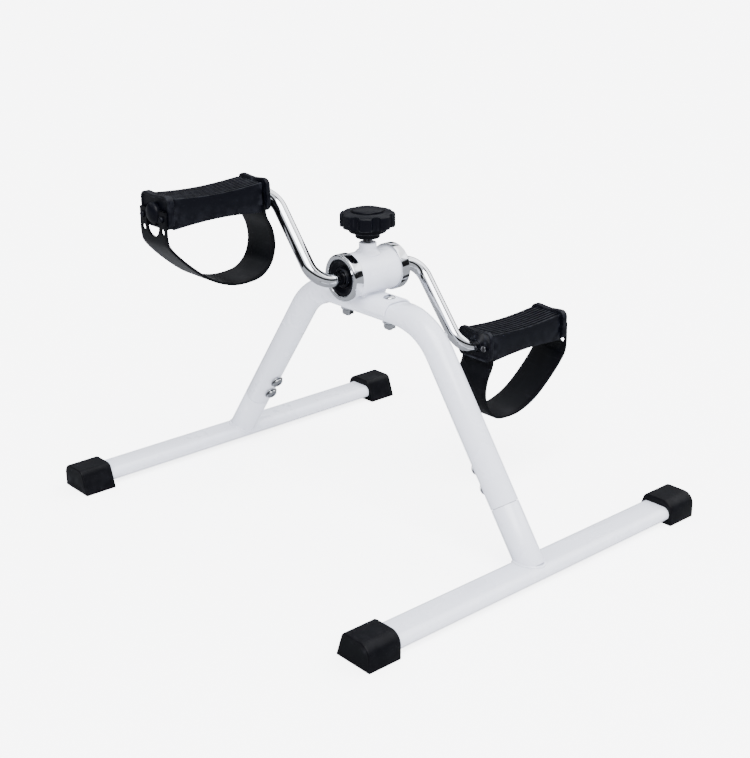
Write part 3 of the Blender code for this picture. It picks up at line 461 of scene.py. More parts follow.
class Finish:
    """One material: a Principled shader with its own colours and the shared effects laid over it."""

    def __init__(self, name, colour, roughness, metallic=0.0):
        self.material = bpy.data.materials.new(name)
        self.material.use_nodes = True
        self.material.diffuse_color = (*colour, 1)
        self.tree = self.material.node_tree
        self.shader = self.tree.nodes["Principled BSDF"]
        self.shader.inputs["Metallic"].default_value = metallic
        self.colour = (*colour, 1)
        self.rough = roughness

    def feed(self, value, socket):
        """Link a varying value to a socket, or set a plain one on it."""
        if isinstance(value, bpy.types.NodeSocket):
            self.tree.links.new(value, socket)
        else:
            socket.default_value = value

    def set(self, **constants):
        for label, value in constants.items():
            self.shader.inputs[label.replace("_", " ")].default_value = value

    def effect(self, group, *values):
        """Place a shared effect with its own values, in the order of its inputs."""
        node = self.tree.nodes.new("ShaderNodeGroup")
        node.node_tree = group
        for socket, value in zip(node.inputs, values):
            socket.default_value = value
        return node.outputs[0]

    def tint(self, mask, colour):
        """Mix the base colour towards another where the mask is strong."""
        node = self.tree.nodes.new("ShaderNodeMix")
        node.data_type = "RGBA"
        self.tree.links.new(mask, node.inputs[0])
        self.feed(self.colour, node.inputs[6])
        node.inputs[7].default_value = (*colour, 1)
        self.colour = node.outputs[2]

    def roughen(self, mask, amount):
        """Add to the roughness where the mask is strong; a negative amount polishes."""
        self.rough = combine(self.tree, combine(self.tree, mask, amount), self.rough, "ADD")

    def bump(self, height, depth):
        node = self.tree.nodes.new("ShaderNodeBump")
        node.inputs["Strength"].default_value = 1.0
        node.inputs["Distance"].default_value = depth
        self.tree.links.new(height, node.inputs["Height"])
        self.tree.links.new(node.outputs["Normal"], self.shader.inputs["Normal"])

    def done(self):
        self.feed(self.colour, self.shader.inputs["Base Color"])
        self.feed(self.rough, self.shader.inputs["Roughness"])
        return self.material


def white_paint():
    """Glossy powder coat: cool white, slight orange peel, faint dust."""
    finish = Finish("white_powder_coat", (0.62, 0.64, 0.72), 0.26)
    finish.set(Coat_Weight=0.35, Coat_Roughness=0.08, Specular_IOR_Level=0.55)
    finish.tint(finish.effect(DUST, 0.16, 11), (0.53, 0.53, 0.56))
    finish.tint(finish.effect(WEAR_AND_HIGHLIGHT, 0.25), (0.70, 0.71, 0.76))
    finish.roughen(finish.effect(DUST, 0.5, 19), 0.12)
    finish.bump(finish.effect(GRAIN, 1500, 260), 0.06 * MM)
    return finish.done()


def bright_chrome():
    """Polished chrome plate: hairlines and a faint haze."""
    finish = Finish("bright_chrome", (0.62, 0.63, 0.655), 0.05, 1.0)
    finish.tint(finish.effect(DUST, 0.25, 24), (0.40, 0.41, 0.44))
    finish.roughen(finish.effect(DUST, 1.0, 33), 0.06)
    finish.roughen(finish.effect(HAIRLINES, 45, 1.0), 0.09)
    finish.bump(finish.effect(GRAIN, 700, 80), 0.012 * MM)
    return finish.done()


def chromed_fasteners():
    """Bolts, washers and nuts: brighter on the edges, duller than the crank."""
    finish = Finish("chromed_fasteners", (0.42, 0.43, 0.45), 0.12, 1.0)
    finish.tint(finish.effect(DUST, 0.45, 90), (0.20, 0.205, 0.22))
    finish.tint(finish.effect(WEAR_AND_HIGHLIGHT, 0.7, 260), (0.62, 0.63, 0.65))
    finish.roughen(finish.effect(HAIRLINES, 160, 1.0), 0.16)
    finish.bump(finish.effect(GRAIN, 1600, 240), 0.02 * MM)
    return finish.done()


def zinc_steel():
    """Zinc-plated steel: spangled grey, soft shine."""
    finish = Finish("zinc_plated_steel", (0.32, 0.325, 0.34), 0.32, 1.0)
    finish.tint(finish.effect(DUST, 0.6, 130), (0.20, 0.205, 0.22))
    finish.roughen(finish.effect(HAIRLINES, 120, 1.0), 0.14)
    finish.bump(finish.effect(GRAIN, 1400, 200), 0.02 * MM)
    return finish.done()


def black_steel():
    """Black coated screws, worn a little bright on the edges of head and slot."""
    finish = Finish("black_coated_steel", (0.012, 0.012, 0.015), 0.34, 0.4)
    finish.tint(finish.effect(WEAR_AND_HIGHLIGHT, 0.8, 320), (0.25, 0.25, 0.27))
    finish.roughen(finish.effect(DUST, 1.0, 150), 0.15)
    finish.bump(finish.effect(GRAIN, 1800, 260), 0.02 * MM)
    return finish.done()


def black_plastic():
    """Moulded blue-black plastic: satin, fine spark texture, edges lightened partly as rubbing wear and partly as
    a painted highlight on the tread's ribs.
    """
    finish = Finish("black_moulded_plastic", (0.0011, 0.0013, 0.0028), 0.34)
    finish.set(Specular_IOR_Level=0.08)
    finish.tint(finish.effect(DUST, 0.35, 30), (0.0026, 0.0029, 0.0048))
    # Painted highlight on edges, the tread's ribs among them, set bright so they catch like lit edges; partly
    # rubbing wear too.
    finish.tint(finish.effect(WEAR_AND_HIGHLIGHT, 0.8, 150), (0.022, 0.024, 0.031))
    finish.roughen(finish.effect(DUST, 1.0, 52), 0.14)
    finish.bump(finish.effect(GRAIN, 2400, 420), 0.05 * MM)
    return finish.done()


def cap_rubber():
    """Moulded rubber feet: matt black with a little bloom and dust."""
    finish = Finish("black_foot_rubber", (0.0011, 0.0012, 0.0020), 0.42)
    finish.set(Specular_IOR_Level=0.07)
    finish.tint(finish.effect(DUST, 0.6, 24), (0.0032, 0.0033, 0.0044))
    finish.tint(finish.effect(WEAR_AND_HIGHLIGHT, 0.9, 120), (0.008, 0.0083, 0.0105))
    finish.roughen(finish.effect(DUST, 1.0, 40), 0.18)
    finish.bump(finish.effect(GRAIN, 1900, 300), 0.07 * MM)
    return finish.done()


def strap_rubber():
    """Flexible strap: smooth satin rubber, flexed lighter in clouds, with hairline scuffs."""
    finish = Finish("black_strap_rubber", (0.0011, 0.0012, 0.0020), 0.38)
    finish.set(Specular_IOR_Level=0.08)
    finish.tint(finish.effect(DUST, 0.5, 36), (0.0026, 0.0028, 0.0038))
    finish.tint(finish.effect(HAIRLINES, 30, 0.35), (0.006, 0.0063, 0.008))
    finish.roughen(finish.effect(DUST, 1.0, 60), 0.12)
    finish.bump(finish.effect(GRAIN, 2600, 340), 0.04 * MM)
    return finish.done()


def brake_felt():
    """Pressed brown friction felt."""
    finish = Finish("brake_felt", (0.16, 0.12, 0.085), 0.93)
    finish.tint(finish.effect(GRAIN, 1800, 500), (0.24, 0.19, 0.14))
    finish.bump(finish.effect(GRAIN, 2600, 700), 0.3 * MM)
    return finish.done()


FINISHES = {
    "white_paint": white_paint(),
    "bright_chrome": bright_chrome(),
    "chromed_fasteners": chromed_fasteners(),
    "zinc_steel": zinc_steel(),
    "black_steel": black_steel(),
    "black_plastic": black_plastic(),
    "black_rubber": cap_rubber(),
    "strap_rubber": strap_rubber(),
    "brake_felt": brake_felt(),
}


def fit(piece, body, slot, *nodes, sharp=35):
    """Shade and coat a finished piece, ride it on its body and let it stand for its CAD nodes."""
    smooth(piece, sharp)
    piece.data.materials.clear()
    piece.data.materials.append(FINISHES[slot])
    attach(piece, body)
    if nodes:
        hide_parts(*nodes)


# ---------------------------------------------------------------- base


def leg_point(height):
    """The rear leg's centreline at a height."""
    return Vector((0, BAR_Y - (height - BAR_Z) / math.tan(LEG_ANGLE), height))


LEG_UP = Vector((0, -math.cos(LEG_ANGLE), math.sin(LEG_ANGLE)))
LEG_INWARD = Vector((0, -math.sin(LEG_ANGLE), -math.cos(LEG_ANGLE)))


def oval_bar(name, grow, start, end, steps=48):
    """A flat-oval bar along X: a round bar pulled apart to its width."""
    radius = BAR_SIZE.y / 2 + grow
    pull = (BAR_SIZE.x - BAR_SIZE.y) / 2
    piece = circle(name, radius, (start, BAR_Y, BAR_Z), (1, 0, 0), steps, filled=True)
    open_up(piece)
    for side in (-1, 1):
        pick(piece, "verts", lambda vert: side * (vert.co.y - BAR_Y) > 1e-5)
        shift((0, side * pull, 0))
    bpy.ops.mesh.select_all(action="SELECT")
    extrude((end - start, 0, 0))
    close_up()
    face_out(piece)
    return piece


def stub_weld_line():
    """Where the leg stub's skin meets the bar's skin, all the way round."""
    across = Vector((1, 0, 0))
    reach = (BAR_SIZE.x - BAR_SIZE.y) / 2
    radius = BAR_SIZE.y / 2
    points = []
    for i in range(72):
        angle = math.tau * i / 72
        point = leg_point(SEAM_Z) + (LEG_RADIUS + 0.2 * MM) * (
            math.cos(angle) * across + math.sin(angle) * LEG_INWARD
        )
        for _ in range(400):
            y = point.y - BAR_Y
            flat_y = min(max(y, -reach), reach)
            if math.hypot(y - flat_y, point.z - BAR_Z) <= radius + 0.2 * MM:
                break
            point -= LEG_UP * 0.15 * MM
        points.append(point)
    return points


def base_bar():
    """The rear base bar with its welded stub, then the front one as its mirror image."""
    bar = oval_bar("rear_bar", 0, -BAR_HIGH.x, BAR_HIGH.x)
    seam = leg_point(SEAM_Z)
    stub = pin("stub", LEG_RADIUS, leg_point(BAR_Z + 1 * MM), seam, 64)
    soften(stub, 0.5 * MM, 2)
    weld_on(bar, stub)
    cut(bar, pin("bore", LEG_RADIUS - LEG_WALL, leg_point(BAR_Z + 14 * MM), seam + LEG_UP * 5 * MM, 64))
    weld = bead("rear_bar_weld", stub_weld_line(), 1.2 * MM, closed=True)
    for place, side in (("front", -1), ("rear", 1)):
        tube = bar if side > 0 else mirrored(bar, "front_bar", (1, -1, 1))
        seam_bead = weld if side > 0 else mirrored(weld, "front_bar_weld", (1, -1, 1))
        fit(tube, "frame", "white_paint", f"{place}_base_bar")
        fit(seam_bead, "frame", "white_paint", sharp=60)


def foot_caps():
    """The rear right cap, and its mirror images for the other three corners."""
    cap = block("rear_right_cap", CAP_LOW, CAP_HIGH)
    open_up(cap)
    pick(cap, "verts", lambda vert: vert.co.z > BAR_Z and vert.co.y < BAR_Y)
    shift((0, CAP_HIGH.z * math.tan(CAP_LEAN), 0))
    bpy.ops.mesh.select_mode(type="EDGE")
    for side, width in ((1, CAP_INNER_ROUND), (-1, CAP_OUTER_ROUND)):

        def top_edge(edge):
            place = middle(edge)
            on_top = place.z > CAP_HIGH.z - GAP
            return runs_along(edge, 0) and on_top and side * (place.y - BAR_Y) > 4 * MM

        pick(cap, "edges", top_edge)
        bpy.ops.mesh.bevel(offset=width, segments=12, profile=0.5)
    bpy.ops.mesh.select_mode(type="FACE")
    pick(cap, "faces", lambda face: face.normal.x > 0.9)
    bpy.ops.mesh.inset(thickness=1.5 * MM)
    close_up()
    face_out(cap)
    soften(cap, 1.3 * MM, 4, 50)
    cut(cap, oval_bar("socket", GAP, CAP_LOW.x - 5 * MM, CAP_HIGH.x - 4 * MM))
    for x in (1, -1):
        for y in (1, -1):
            place = "rear" if y > 0 else "front"
            end = "right" if x > 0 else "left"
            twin = cap if x == y == 1 else mirrored(cap, f"{place}_{end}_cap", (x, y, 1))
            fit(twin, "frame", "black_rubber", f"{place}_{end}_foot_cap", sharp=40)


# ---------------------------------------------------------------- arch and its bolts


def press_flat(piece):
    """Press the tube's top stretch to a flat oval that fades back to round in the bends."""
    bend_z = ARCH_Z - ARCH_BEND_RADIUS
    for vert in piece.data.vertices:
        point = vert.co
        if point.y <= BEND_START_Y:
            up = Vector((0, 0, 1))
            centre = Vector((0, point.y, ARCH_Z))
        else:
            angle = min(math.atan2(point.y - BEND_START_Y, point.z - bend_z), LEG_ANGLE)
            up = Vector((0, math.sin(angle), math.cos(angle)))
            centre = Vector((0, BEND_START_Y, bend_z)) + up * ARCH_BEND_RADIUS
        fade = min(max((centre.y - FLAT_START) / FLAT_RUNOUT, 0), 1)
        flat = 1 - fade * fade * (3 - 2 * fade)
        if flat == 0:
            continue
        half = LEG_RADIUS + (FLAT_HALF_HEIGHT - LEG_RADIUS) * flat
        straight = math.pi / 2 * (LEG_RADIUS - half)
        height = (point - centre).dot(up) / LEG_RADIUS
        off_centre = abs(point.x) / LEG_RADIUS
        turn = math.asin(max(-1, min(1, height)))
        across = 0
        if off_centre > 1e-4:
            across = straight * min(1, off_centre * 3) + half * math.cos(turn)
        vert.co = centre + up * (half * height) + Vector((math.copysign(across, point.x), 0, 0))


def arch_tube():
    """Half the arch swept from the middle down to the seam, mirrored, then given its wall."""
    arch = circle("arch", LEG_RADIUS, (0, 0, ARCH_Z), (0, 1, 0), 64)
    open_up(arch, everything=True)
    extrude((0, FLAT_START, 0))
    extrude((0, BEND_START_Y - FLAT_START, 0))
    bend(-LEG_ANGLE, (0, BEND_START_Y, ARCH_Z - ARCH_BEND_RADIUS), (1, 0, 0), 28)
    bend_end = Vector((0, BEND_START_Y, ARCH_Z - ARCH_BEND_RADIUS))
    bend_end += ARCH_BEND_RADIUS * Vector((0, math.sin(LEG_ANGLE), math.cos(LEG_ANGLE)))
    extrude(leg_point(SEAM_Z) + LEG_UP * GAP - bend_end)
    close_up()
    press_flat(arch)
    modify(arch, "MIRROR", use_axis=(False, True, False), merge_threshold=0.01 * MM)
    face_out(arch)
    modify(arch, "SOLIDIFY", thickness=LEG_WALL, offset=-1)
    soften(arch, 0.4 * MM, 2, 60)
    fit(arch, "frame", "white_paint", "arch_tube")


def button_head(name, radius, height, seat, axis, socket):
    """A domed screw head with a hexagon socket and a short shank below its seat."""
    profile = [(0, -4 * MM), (0.5 * radius, -4 * MM), (0.5 * radius, 0), (0.93 * radius, 0)]
    profile += [(radius, 0.07 * radius), (radius, 0.25 * height)]
    for i in range(1, 9):
        angle = math.pi / 2 * i / 9
        profile.append((radius * math.cos(angle), height * (0.25 + 0.75 * math.sin(angle))))
    profile.append((0, height))
    head = turned(name, profile, seat, axis, 48)
    axis = Vector(axis).normalized()
    recess = pin("recess", socket, Vector(seat) + axis * 0.45 * height, Vector(seat) + axis * 2 * height, 6)
    cut(head, recess)
    return head


def leg_bolts():
    """Two bolts and washers on the inner face of each leg."""
    for level, along in LEG_BOLTS.items():
        seat = leg_point(SEAM_Z) + LEG_UP * along + LEG_INWARD * (LEG_RADIUS + GAP)
        inner, outer, thick = 3.4 * MM, 6.8 * MM, 1.2 * MM
        profile = [(inner, 0), (outer - 0.3 * MM, 0), (outer, 0.3 * MM), (outer, thick - 0.3 * MM)]
        profile += [(outer - 0.3 * MM, thick), (inner, thick)]
        washer = turned(f"rear_{level}_washer", profile, seat, LEG_INWARD, 48, looped=True)
        seat += LEG_INWARD * (thick + GAP)
        bolt = button_head(f"rear_{level}_bolt", BUTTON_RADIUS, 3.4 * MM, seat, LEG_INWARD, 2 * MM)
        for piece, kind in ((washer, "washer"), (bolt, "bolt")):
            twin = mirrored(piece, f"front_{level}_{kind}", (1, -1, 1))
            fit(piece, "frame", "chromed_fasteners", f"rear_{level}_leg_{kind}")
            fit(twin, "frame", "chromed_fasteners", f"front_{level}_leg_{kind}")


# ---------------------------------------------------------------- hub


def saddle():
    """The sheet channel that wraps the flat tube's top: half a flat oval with thickness."""
    straight = math.pi / 2 * (LEG_RADIUS - FLAT_HALF_HEIGHT)
    radius = FLAT_HALF_HEIGHT + GAP + SADDLE_SHEET / 2
    half = SADDLE_LENGTH / 2
    piece = circle("saddle", radius, (0, -half, ARCH_Z), (0, 1, 0), 64)
    open_up(piece)
    for side in (-1, 1):
        pick(piece, "verts", lambda vert: side * vert.co.x > 1e-5)
        shift((side * straight, 0, 0))
    pick(piece, "verts", lambda vert: vert.co.z < ARCH_Z - 0.5 * MM)
    bpy.ops.mesh.delete(type="VERT")
    bpy.ops.mesh.select_all(action="SELECT")
    extrude((0, SADDLE_LENGTH, 0))
    close_up()
    face_out(piece)
    modify(piece, "SOLIDIFY", thickness=SADDLE_SHEET, offset=0)
    soften(piece, 0.5 * MM, 2)
    return piece


def hub_housing():
    """Hub tube, saddle, boss and their welds in one body, bored through."""
    start, end = HUB - Vector((HUB_HALF, 0, 0)), HUB + Vector((HUB_HALF, 0, 0))
    hub = pin("hub_housing_shell", HUB_RADIUS, start, end, 96)
    weld_on(hub, saddle())
    rise = HUB_BORE * 0.6
    height = BOSS_TOP - HUB.z
    flare = HUB_RADIUS - 0.6 * MM
    profile = [(0, rise), (BOSS_RADIUS, rise), (BOSS_RADIUS + 4.2 * MM, flare - 1.6 * MM)]
    profile += [(BOSS_RADIUS + 2.2 * MM, flare + 0.4 * MM), (BOSS_RADIUS + 1 * MM, flare + 1.3 * MM)]
    profile += [(BOSS_RADIUS + 0.3 * MM, flare + 2.4 * MM), (BOSS_RADIUS, flare + 3.6 * MM)]
    profile += [(BOSS_RADIUS, height - 0.6 * MM), (BOSS_RADIUS - 0.6 * MM, height), (0, height)]
    weld_on(hub, turned("boss", profile, HUB, steps=64))
    for side in (-1, 1):
        line = [(x * MM, side * 7.6 * MM, SADDLE_TOP + 1.4 * MM) for x in range(-13, 14)]
        weld_on(hub, bead("saddle_weld", line, 2.4 * MM))
    cut(hub, pin("bore", HUB_BORE, start - Vector((5 * MM, 0, 0)), end + Vector((5 * MM, 0, 0)), 96))
    cut(hub, pin("screw_bore", SCREW_RADIUS + 0.4 * MM, HUB, HUB + Vector((0, 0, height + 5 * MM)), 48))
    fit(hub, "frame", "white_paint", "hub_housing", sharp=40)


def saddle_fasteners():
    """A button-head bolt through the saddle and the arch at each end, and its flange nut below."""
    for place, side in (("front", -1), ("rear", 1)):
        seat = Vector((0, side * SADDLE_BOLT_Y, SADDLE_TOP + GAP))
        bolt = button_head(f"{place}_bolt_head", BUTTON_RADIUS, 3.6 * MM, seat, (0, 0, 1), 2.1 * MM)
        nut_low, nut_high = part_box(f"{place}_saddle_nut")
        flange, hexagon = 6.6 * MM, 5.8 * MM
        nut = pin(f"{place}_flange_nut", hexagon, (0, seat.y, nut_high.z - 1 * MM), (0, seat.y, nut_low.z), 6)
        soften(nut, 0.5 * MM, 3)
        profile = [(0, 0), (flange - 0.4 * MM, 0), (flange, -0.4 * MM), (flange, -1.1 * MM)]
        profile.append((hexagon - 0.4 * MM, -2.2 * MM))
        skirt = turned("skirt", profile, (0, seat.y, nut_high.z), steps=64)
        weld_on(nut, skirt)
        tail_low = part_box(f"{place}_saddle_bolt")[0].z
        tail = [(0, tail_low), (2.4 * MM, tail_low), (3 * MM, tail_low + 0.6 * MM)]
        height = tail_low + 0.6 * MM
        while height < nut_low.z + 1.5 * MM:
            tail += [(3 * MM, height + 0.3 * MM), (2.6 * MM, height + 0.6 * MM), (3 * MM, height + 0.9 * MM)]
            height += 1 * MM
        screw_end = turned(f"{place}_bolt_end", tail, (0, seat.y, 0), steps=32)
        activate(bolt)
        screw_end.select_set(True)
        bpy.ops.object.join()
        fit(bolt, "frame", "chromed_fasteners", f"{place}_saddle_bolt")
        fit(nut, "frame", "chromed_fasteners", f"{place}_saddle_nut")


def hub_ends():
    """The chromed cup and the dished plastic bush at each end of the hub."""
    face = RING_HIGH.x
    back = RING_LOW.x
    outer = (RING_HIGH.z - RING_LOW.z) / 2
    over = HUB_RADIUS + GAP
    lip = HUB_BORE
    ring = [(over, back), (outer - 0.5 * MM, back)]
    ring += arc((outer - 0.5 * MM, back + 0.5 * MM), 0.5 * MM, -90, 0, 3)[1:]
    ring += arc((outer - 1.6 * MM, face - 1.6 * MM), 1.6 * MM, 0, 90, 6)
    ring += arc((lip + 0.9 * MM, face - 0.9 * MM), 0.9 * MM, 90, 180, 5)
    ring += [(lip, HUB_HALF + GAP), (over, HUB_HALF + GAP)]
    bush_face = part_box("right_hub_bush")[1].x
    bush_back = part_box("right_hub_bush")[0].x
    bush_outer = lip - GAP
    bore = ROD_RADIUS + GAP
    bush = [(bush_outer, bush_back), (bush_outer, bush_face - 0.4 * MM), (bush_outer - 0.4 * MM, bush_face)]
    bush += [(bush_outer - 1.8 * MM, bush_face), (bush_outer - 2.3 * MM, bush_face - 0.4 * MM)]
    bush += [(bore + 4 * MM, bush_face - 2.6 * MM), (bore + 3 * MM, bush_face - 2.6 * MM)]
    bush += [(bore + 2.4 * MM, bush_face - 0.5 * MM), (bore + 1.9 * MM, bush_face)]
    bush += [(bore + 0.5 * MM, bush_face), (bore, bush_face - 0.5 * MM), (bore, bush_back)]
    for end, side in (("left", -1), ("right", 1)):
        axis = (side, 0, 0)
        cup = turned(f"{end}_ring", ring, (0, 0, HUB.z), axis, 96, looped=True)
        bearing = turned(f"{end}_bush", bush, (0, 0, HUB.z), axis, 96, looped=True)
        fit(cup, "frame", "bright_chrome", f"{end}_hub_ring")
        fit(bearing, "frame", "black_plastic", f"{end}_hub_bush")


# ---------------------------------------------------------------- crank and knob


def crank():
    """One rod swept from the right pin to the left pin, drawn upright and then turned to its angle."""
    wide, reach, corner = CRANK_HALF_WIDTH, CRANK_RADIUS, CRANK_BEND
    rod = circle("crank_rod", ROD_RADIUS, (PIN_END, 0, -reach), (-1, 0, 0), 48, filled=True)
    open_up(rod, everything=True)
    square = math.pi / 2
    extrude((wide + corner - PIN_END, 0, 0))
    bend(square, (wide + corner, 0, corner - reach), (0, 1, 0), 16)
    extrude((0, 0, reach - 2 * corner))
    bend(-square, (wide - corner, 0, -corner), (0, 1, 0), 16)
    extrude((2 * (corner - wide), 0, 0))
    bend(square, (corner - wide, 0, corner), (0, 1, 0), 16)
    extrude((0, 0, reach - 2 * corner))
    bend(-square, (-wide - corner, 0, reach - corner), (0, 1, 0), 16)
    extrude((wide + corner - PIN_END, 0, 0))
    close_up()
    face_out(rod)
    soften(rod, 0.8 * MM, 3, 60)
    rod.rotation_euler = (math.atan2(CRANK_ARM.y, CRANK_ARM.x) - square, 0, 0)
    rod.location = HUB
    settle(rod)
    fit(rod, "crank_assembly", "bright_chrome", "crank")


def tension_knob():
    """The lobed knob with its stepped underside, and the disc set in its top."""
    low = KNOB_LOW.z
    tier = low + 5.5 * MM
    rim = tier + 5 * MM
    top = KNOB_HIGH.z
    reach = (KNOB_HIGH.x - KNOB_LOW.x) / 2
    profile = [(0, low), (10.6 * MM, low), (11.2 * MM, low + 0.6 * MM), (11.2 * MM, tier - 0.3 * MM)]
    profile += [(11.5 * MM, tier), (16.6 * MM, tier), (17 * MM, tier + 0.4 * MM), (17 * MM, rim - 0.3 * MM)]
    profile += [(17.3 * MM, rim), (reach - 0.9 * MM, rim)]
    profile += arc((reach - 0.9 * MM, rim + 0.9 * MM), 0.9 * MM, -90, 0, 4)[1:]
    profile += arc((reach - 2.2 * MM, top - 3.4 * MM), 2.2 * MM, 0, 70, 7)
    profile += [(17 * MM, top - 0.1 * MM), (15.9 * MM, top)]
    profile += [(15.3 * MM, top - 0.7 * MM), (14.6 * MM, top - 0.9 * MM)]
    knob = turned("knob_grip", profile, (0, 0, 0), steps=192)
    scallop, depth = 5.4 * MM, 3 * MM
    away = reach + scallop - depth
    for i in range(KNOB_LOBES):
        angle = math.tau * (i + 0.5) / KNOB_LOBES
        x, y = away * math.cos(angle), away * math.sin(angle)
        cut(knob, pin("scallop", scallop, (x, y, rim - 4 * MM), (x, y, top + 5 * MM), 96))
    soften(knob, 0.7 * MM, 4, 38)
    fit(knob, "knob", "black_plastic", "tension_knob", sharp=50)
    disc = [(0, top - 0.6 * MM), (14.3 * MM, top - 0.6 * MM), (14.3 * MM, top + 0.6 * MM)]
    disc += arc((13.1 * MM, top + 0.6 * MM), 1.2 * MM, 0, 80, 5)[1:]
    rise = COVER_TOP - (top + 1.8 * MM)
    for i in range(1, 6):
        share = 1 - i / 6
        disc.append((13 * MM * share, top + 1.8 * MM + rise * (1 - share * share)))
    disc.append((0, COVER_TOP))
    fit(turned("knob_disc", disc, (0, 0, 0), steps=96), "knob", "black_plastic", "knob_cover")


def tension_screw():
    """The screw between boss and knob, with its thread as close-set grooves."""
    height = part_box("tension_screw")[0].z
    outer, root, pitch = SCREW_RADIUS, SCREW_RADIUS - 0.55 * MM, SCREW_PITCH
    profile = [(0, height), (root, height)]
    while height < KNOB_LOW.z:
        profile += [(outer, height + 0.45 * pitch), (outer, height + 0.55 * pitch), (root, height + pitch)]
        height += pitch
    fit(turned("screw_thread", profile, (0, 0, 0), steps=48), "knob", "zinc_steel", "tension_screw", sharp=20)


# ---------------------------------------------------------------- pedals


def waist(x):
    """How far the tread's top and bottom draw in at a place along it."""
    return TREAD_WAIST * math.sin(math.pi * (x - TREAD[0]) / (TREAD[1] - TREAD[0]))


def tread_block():
    """The tread: ribs raised on a waisted block, bored for the pin, hollow below on both sides."""
    floor = TREAD_Z - RIB_RISE
    body = block("tread", (TREAD[0], -TREAD_HALF, -TREAD_Z), (TREAD[1], TREAD_HALF, floor))
    margin = 2.6 * MM
    pitch = (2 * TREAD_HALF - 2 * margin) / (2 * RIBS + 1)
    edges = [-TREAD_HALF + margin + i * pitch for i in range(2 * RIBS + 2)]
    open_up(body, "FACE")
    for y in edges:
        bpy.ops.mesh.select_all(action="SELECT")
        bpy.ops.mesh.bisect(plane_co=(0, y, 0), plane_no=(0, 1, 0))

    def on_rib(face):
        place = middle(face)
        if face.normal.z < 0.9:
            return False
        index = int((place.y - edges[0]) / pitch) if place.y > edges[0] else -1
        return index < 0 or index >= 2 * RIBS + 1 or index % 2 == 1

    pick(body, "faces", on_rib)
    extrude((0, 0, RIB_RISE))
    steps = 14
    for i in range(1, steps):
        x = TREAD[0] + (TREAD[1] - TREAD[0]) * i / steps
        bpy.ops.mesh.select_all(action="SELECT")
        bpy.ops.mesh.bisect(plane_co=(x, 0, 0), plane_no=(1, 0, 0))
    close_up()
    for vert in body.data.vertices:
        vert.co.z -= math.copysign(waist(vert.co.x), vert.co.z)
    face_out(body)
    soften(body, 0.35 * MM, 2, 40)
    tube = 9.5 * MM
    shell = 3 * MM
    for side in (-1, 1):
        near, far = sorted((side * tube, side * (TREAD_HALF - shell)))
        ceiling = floor - TREAD_WAIST - shell
        pocket = block("pocket", (TREAD[0] + 15 * MM, near, -20 * MM), (TREAD[1] - shell, far, ceiling))
        cut(body, pocket)
    cut(body, pin("bore", ROD_RADIUS + GAP, (TREAD[0] - 5 * MM, 0, 0), (TREAD[1] + 5 * MM, 0, 0), 48))
    return body


def end_plate(name, start, end, outside, recess):
    """An end plate with round corners, a dipped top edge and a panel sunk in its outer face."""
    plate = block(name, (start, -FLANGE_HALF, FLANGE_Z[0]), (end, FLANGE_HALF, FLANGE_Z[1]))
    corner = 6 * MM
    open_up(plate, "EDGE")
    pick(plate, "edges", lambda edge: runs_along(edge, 0))
    bpy.ops.mesh.bevel(offset=corner, segments=8)
    reach = FLANGE_HALF - corner
    for i in range(-5, 6):
        bpy.ops.mesh.select_all(action="SELECT")
        bpy.ops.mesh.bisect(plane_co=(0, reach * i / 6, 0), plane_no=(0, 1, 0))
    close_up()
    dip = 1.1 * MM
    for vert in plate.data.vertices:
        if vert.co.z > FLANGE_Z[1] - 0.01 * MM:
            vert.co.z -= dip * math.cos(math.pi / 2 * vert.co.y / reach) ** 2
    open_up(plate, "FACE")
    pick(plate, "faces", lambda face: face.normal.x * outside > 0.9)
    bpy.ops.mesh.inset(thickness=2.4 * MM)
    extrude((-outside * recess, 0, 0))
    close_up()
    face_out(plate)
    soften(plate, 0.6 * MM, 3, 40)
    return plate


def inner_plate():
    start, end = FLANGE_INNER
    plate = end_plate("inner_plate", start, end, -1, 0.7 * MM)
    cut(plate, pin("bore", ROD_RADIUS + GAP, (start - 5 * MM, 0, 0), (end + 5 * MM, 0, 0), 48))
    return plate


def outer_plate():
    """The outer end plate with two round-headed pegs for the strap."""
    start, end = FLANGE_OUTER
    plate = end_plate("outer_plate", start, end, 1, 0.9 * MM)
    tip = end + 5 * MM
    radius = 2.6 * MM
    for side in (-1, 1):
        profile = [(0, start + 2 * MM), (radius, start + 2 * MM)]
        profile += [(radius, end + 2.7 * MM), (radius, tip - 2 * MM)]
        profile += arc((radius - 1.6 * MM, tip - 1.6 * MM), 1.6 * MM, 0, 80, 5)
        profile.append((0, tip))
        peg = turned("peg", profile, (0, side * PEG_Y, PEG_Z), (1, 0, 0), 32)
        weld_on(plate, peg)
    cut(plate, pin("hole", 8.6 * MM, (start - 5 * MM, 0, 0), (end + 5 * MM, 0, 0), 64))
    return plate


def axle_dome():
    """The dome pressed into the outer end plate over the pin's end."""
    face = FLANGE_OUTER[1] + GAP
    profile = [(0, face - 2.3 * MM), (8.2 * MM, face - 2.3 * MM), (8.2 * MM, face), (CAP_RADIUS, face)]
    profile.append((CAP_RADIUS, face + 1.4 * MM))
    for i in range(1, 12):
        angle = math.pi / 2 * i / 12
        profile.append((CAP_RADIUS * math.cos(angle), face + 5.8 * MM * (0.25 + 0.75 * math.sin(angle))))
    profile.append((0, face + 5.8 * MM))
    return turned("axle_dome", profile, (0, 0, 0), (1, 0, 0), 64)


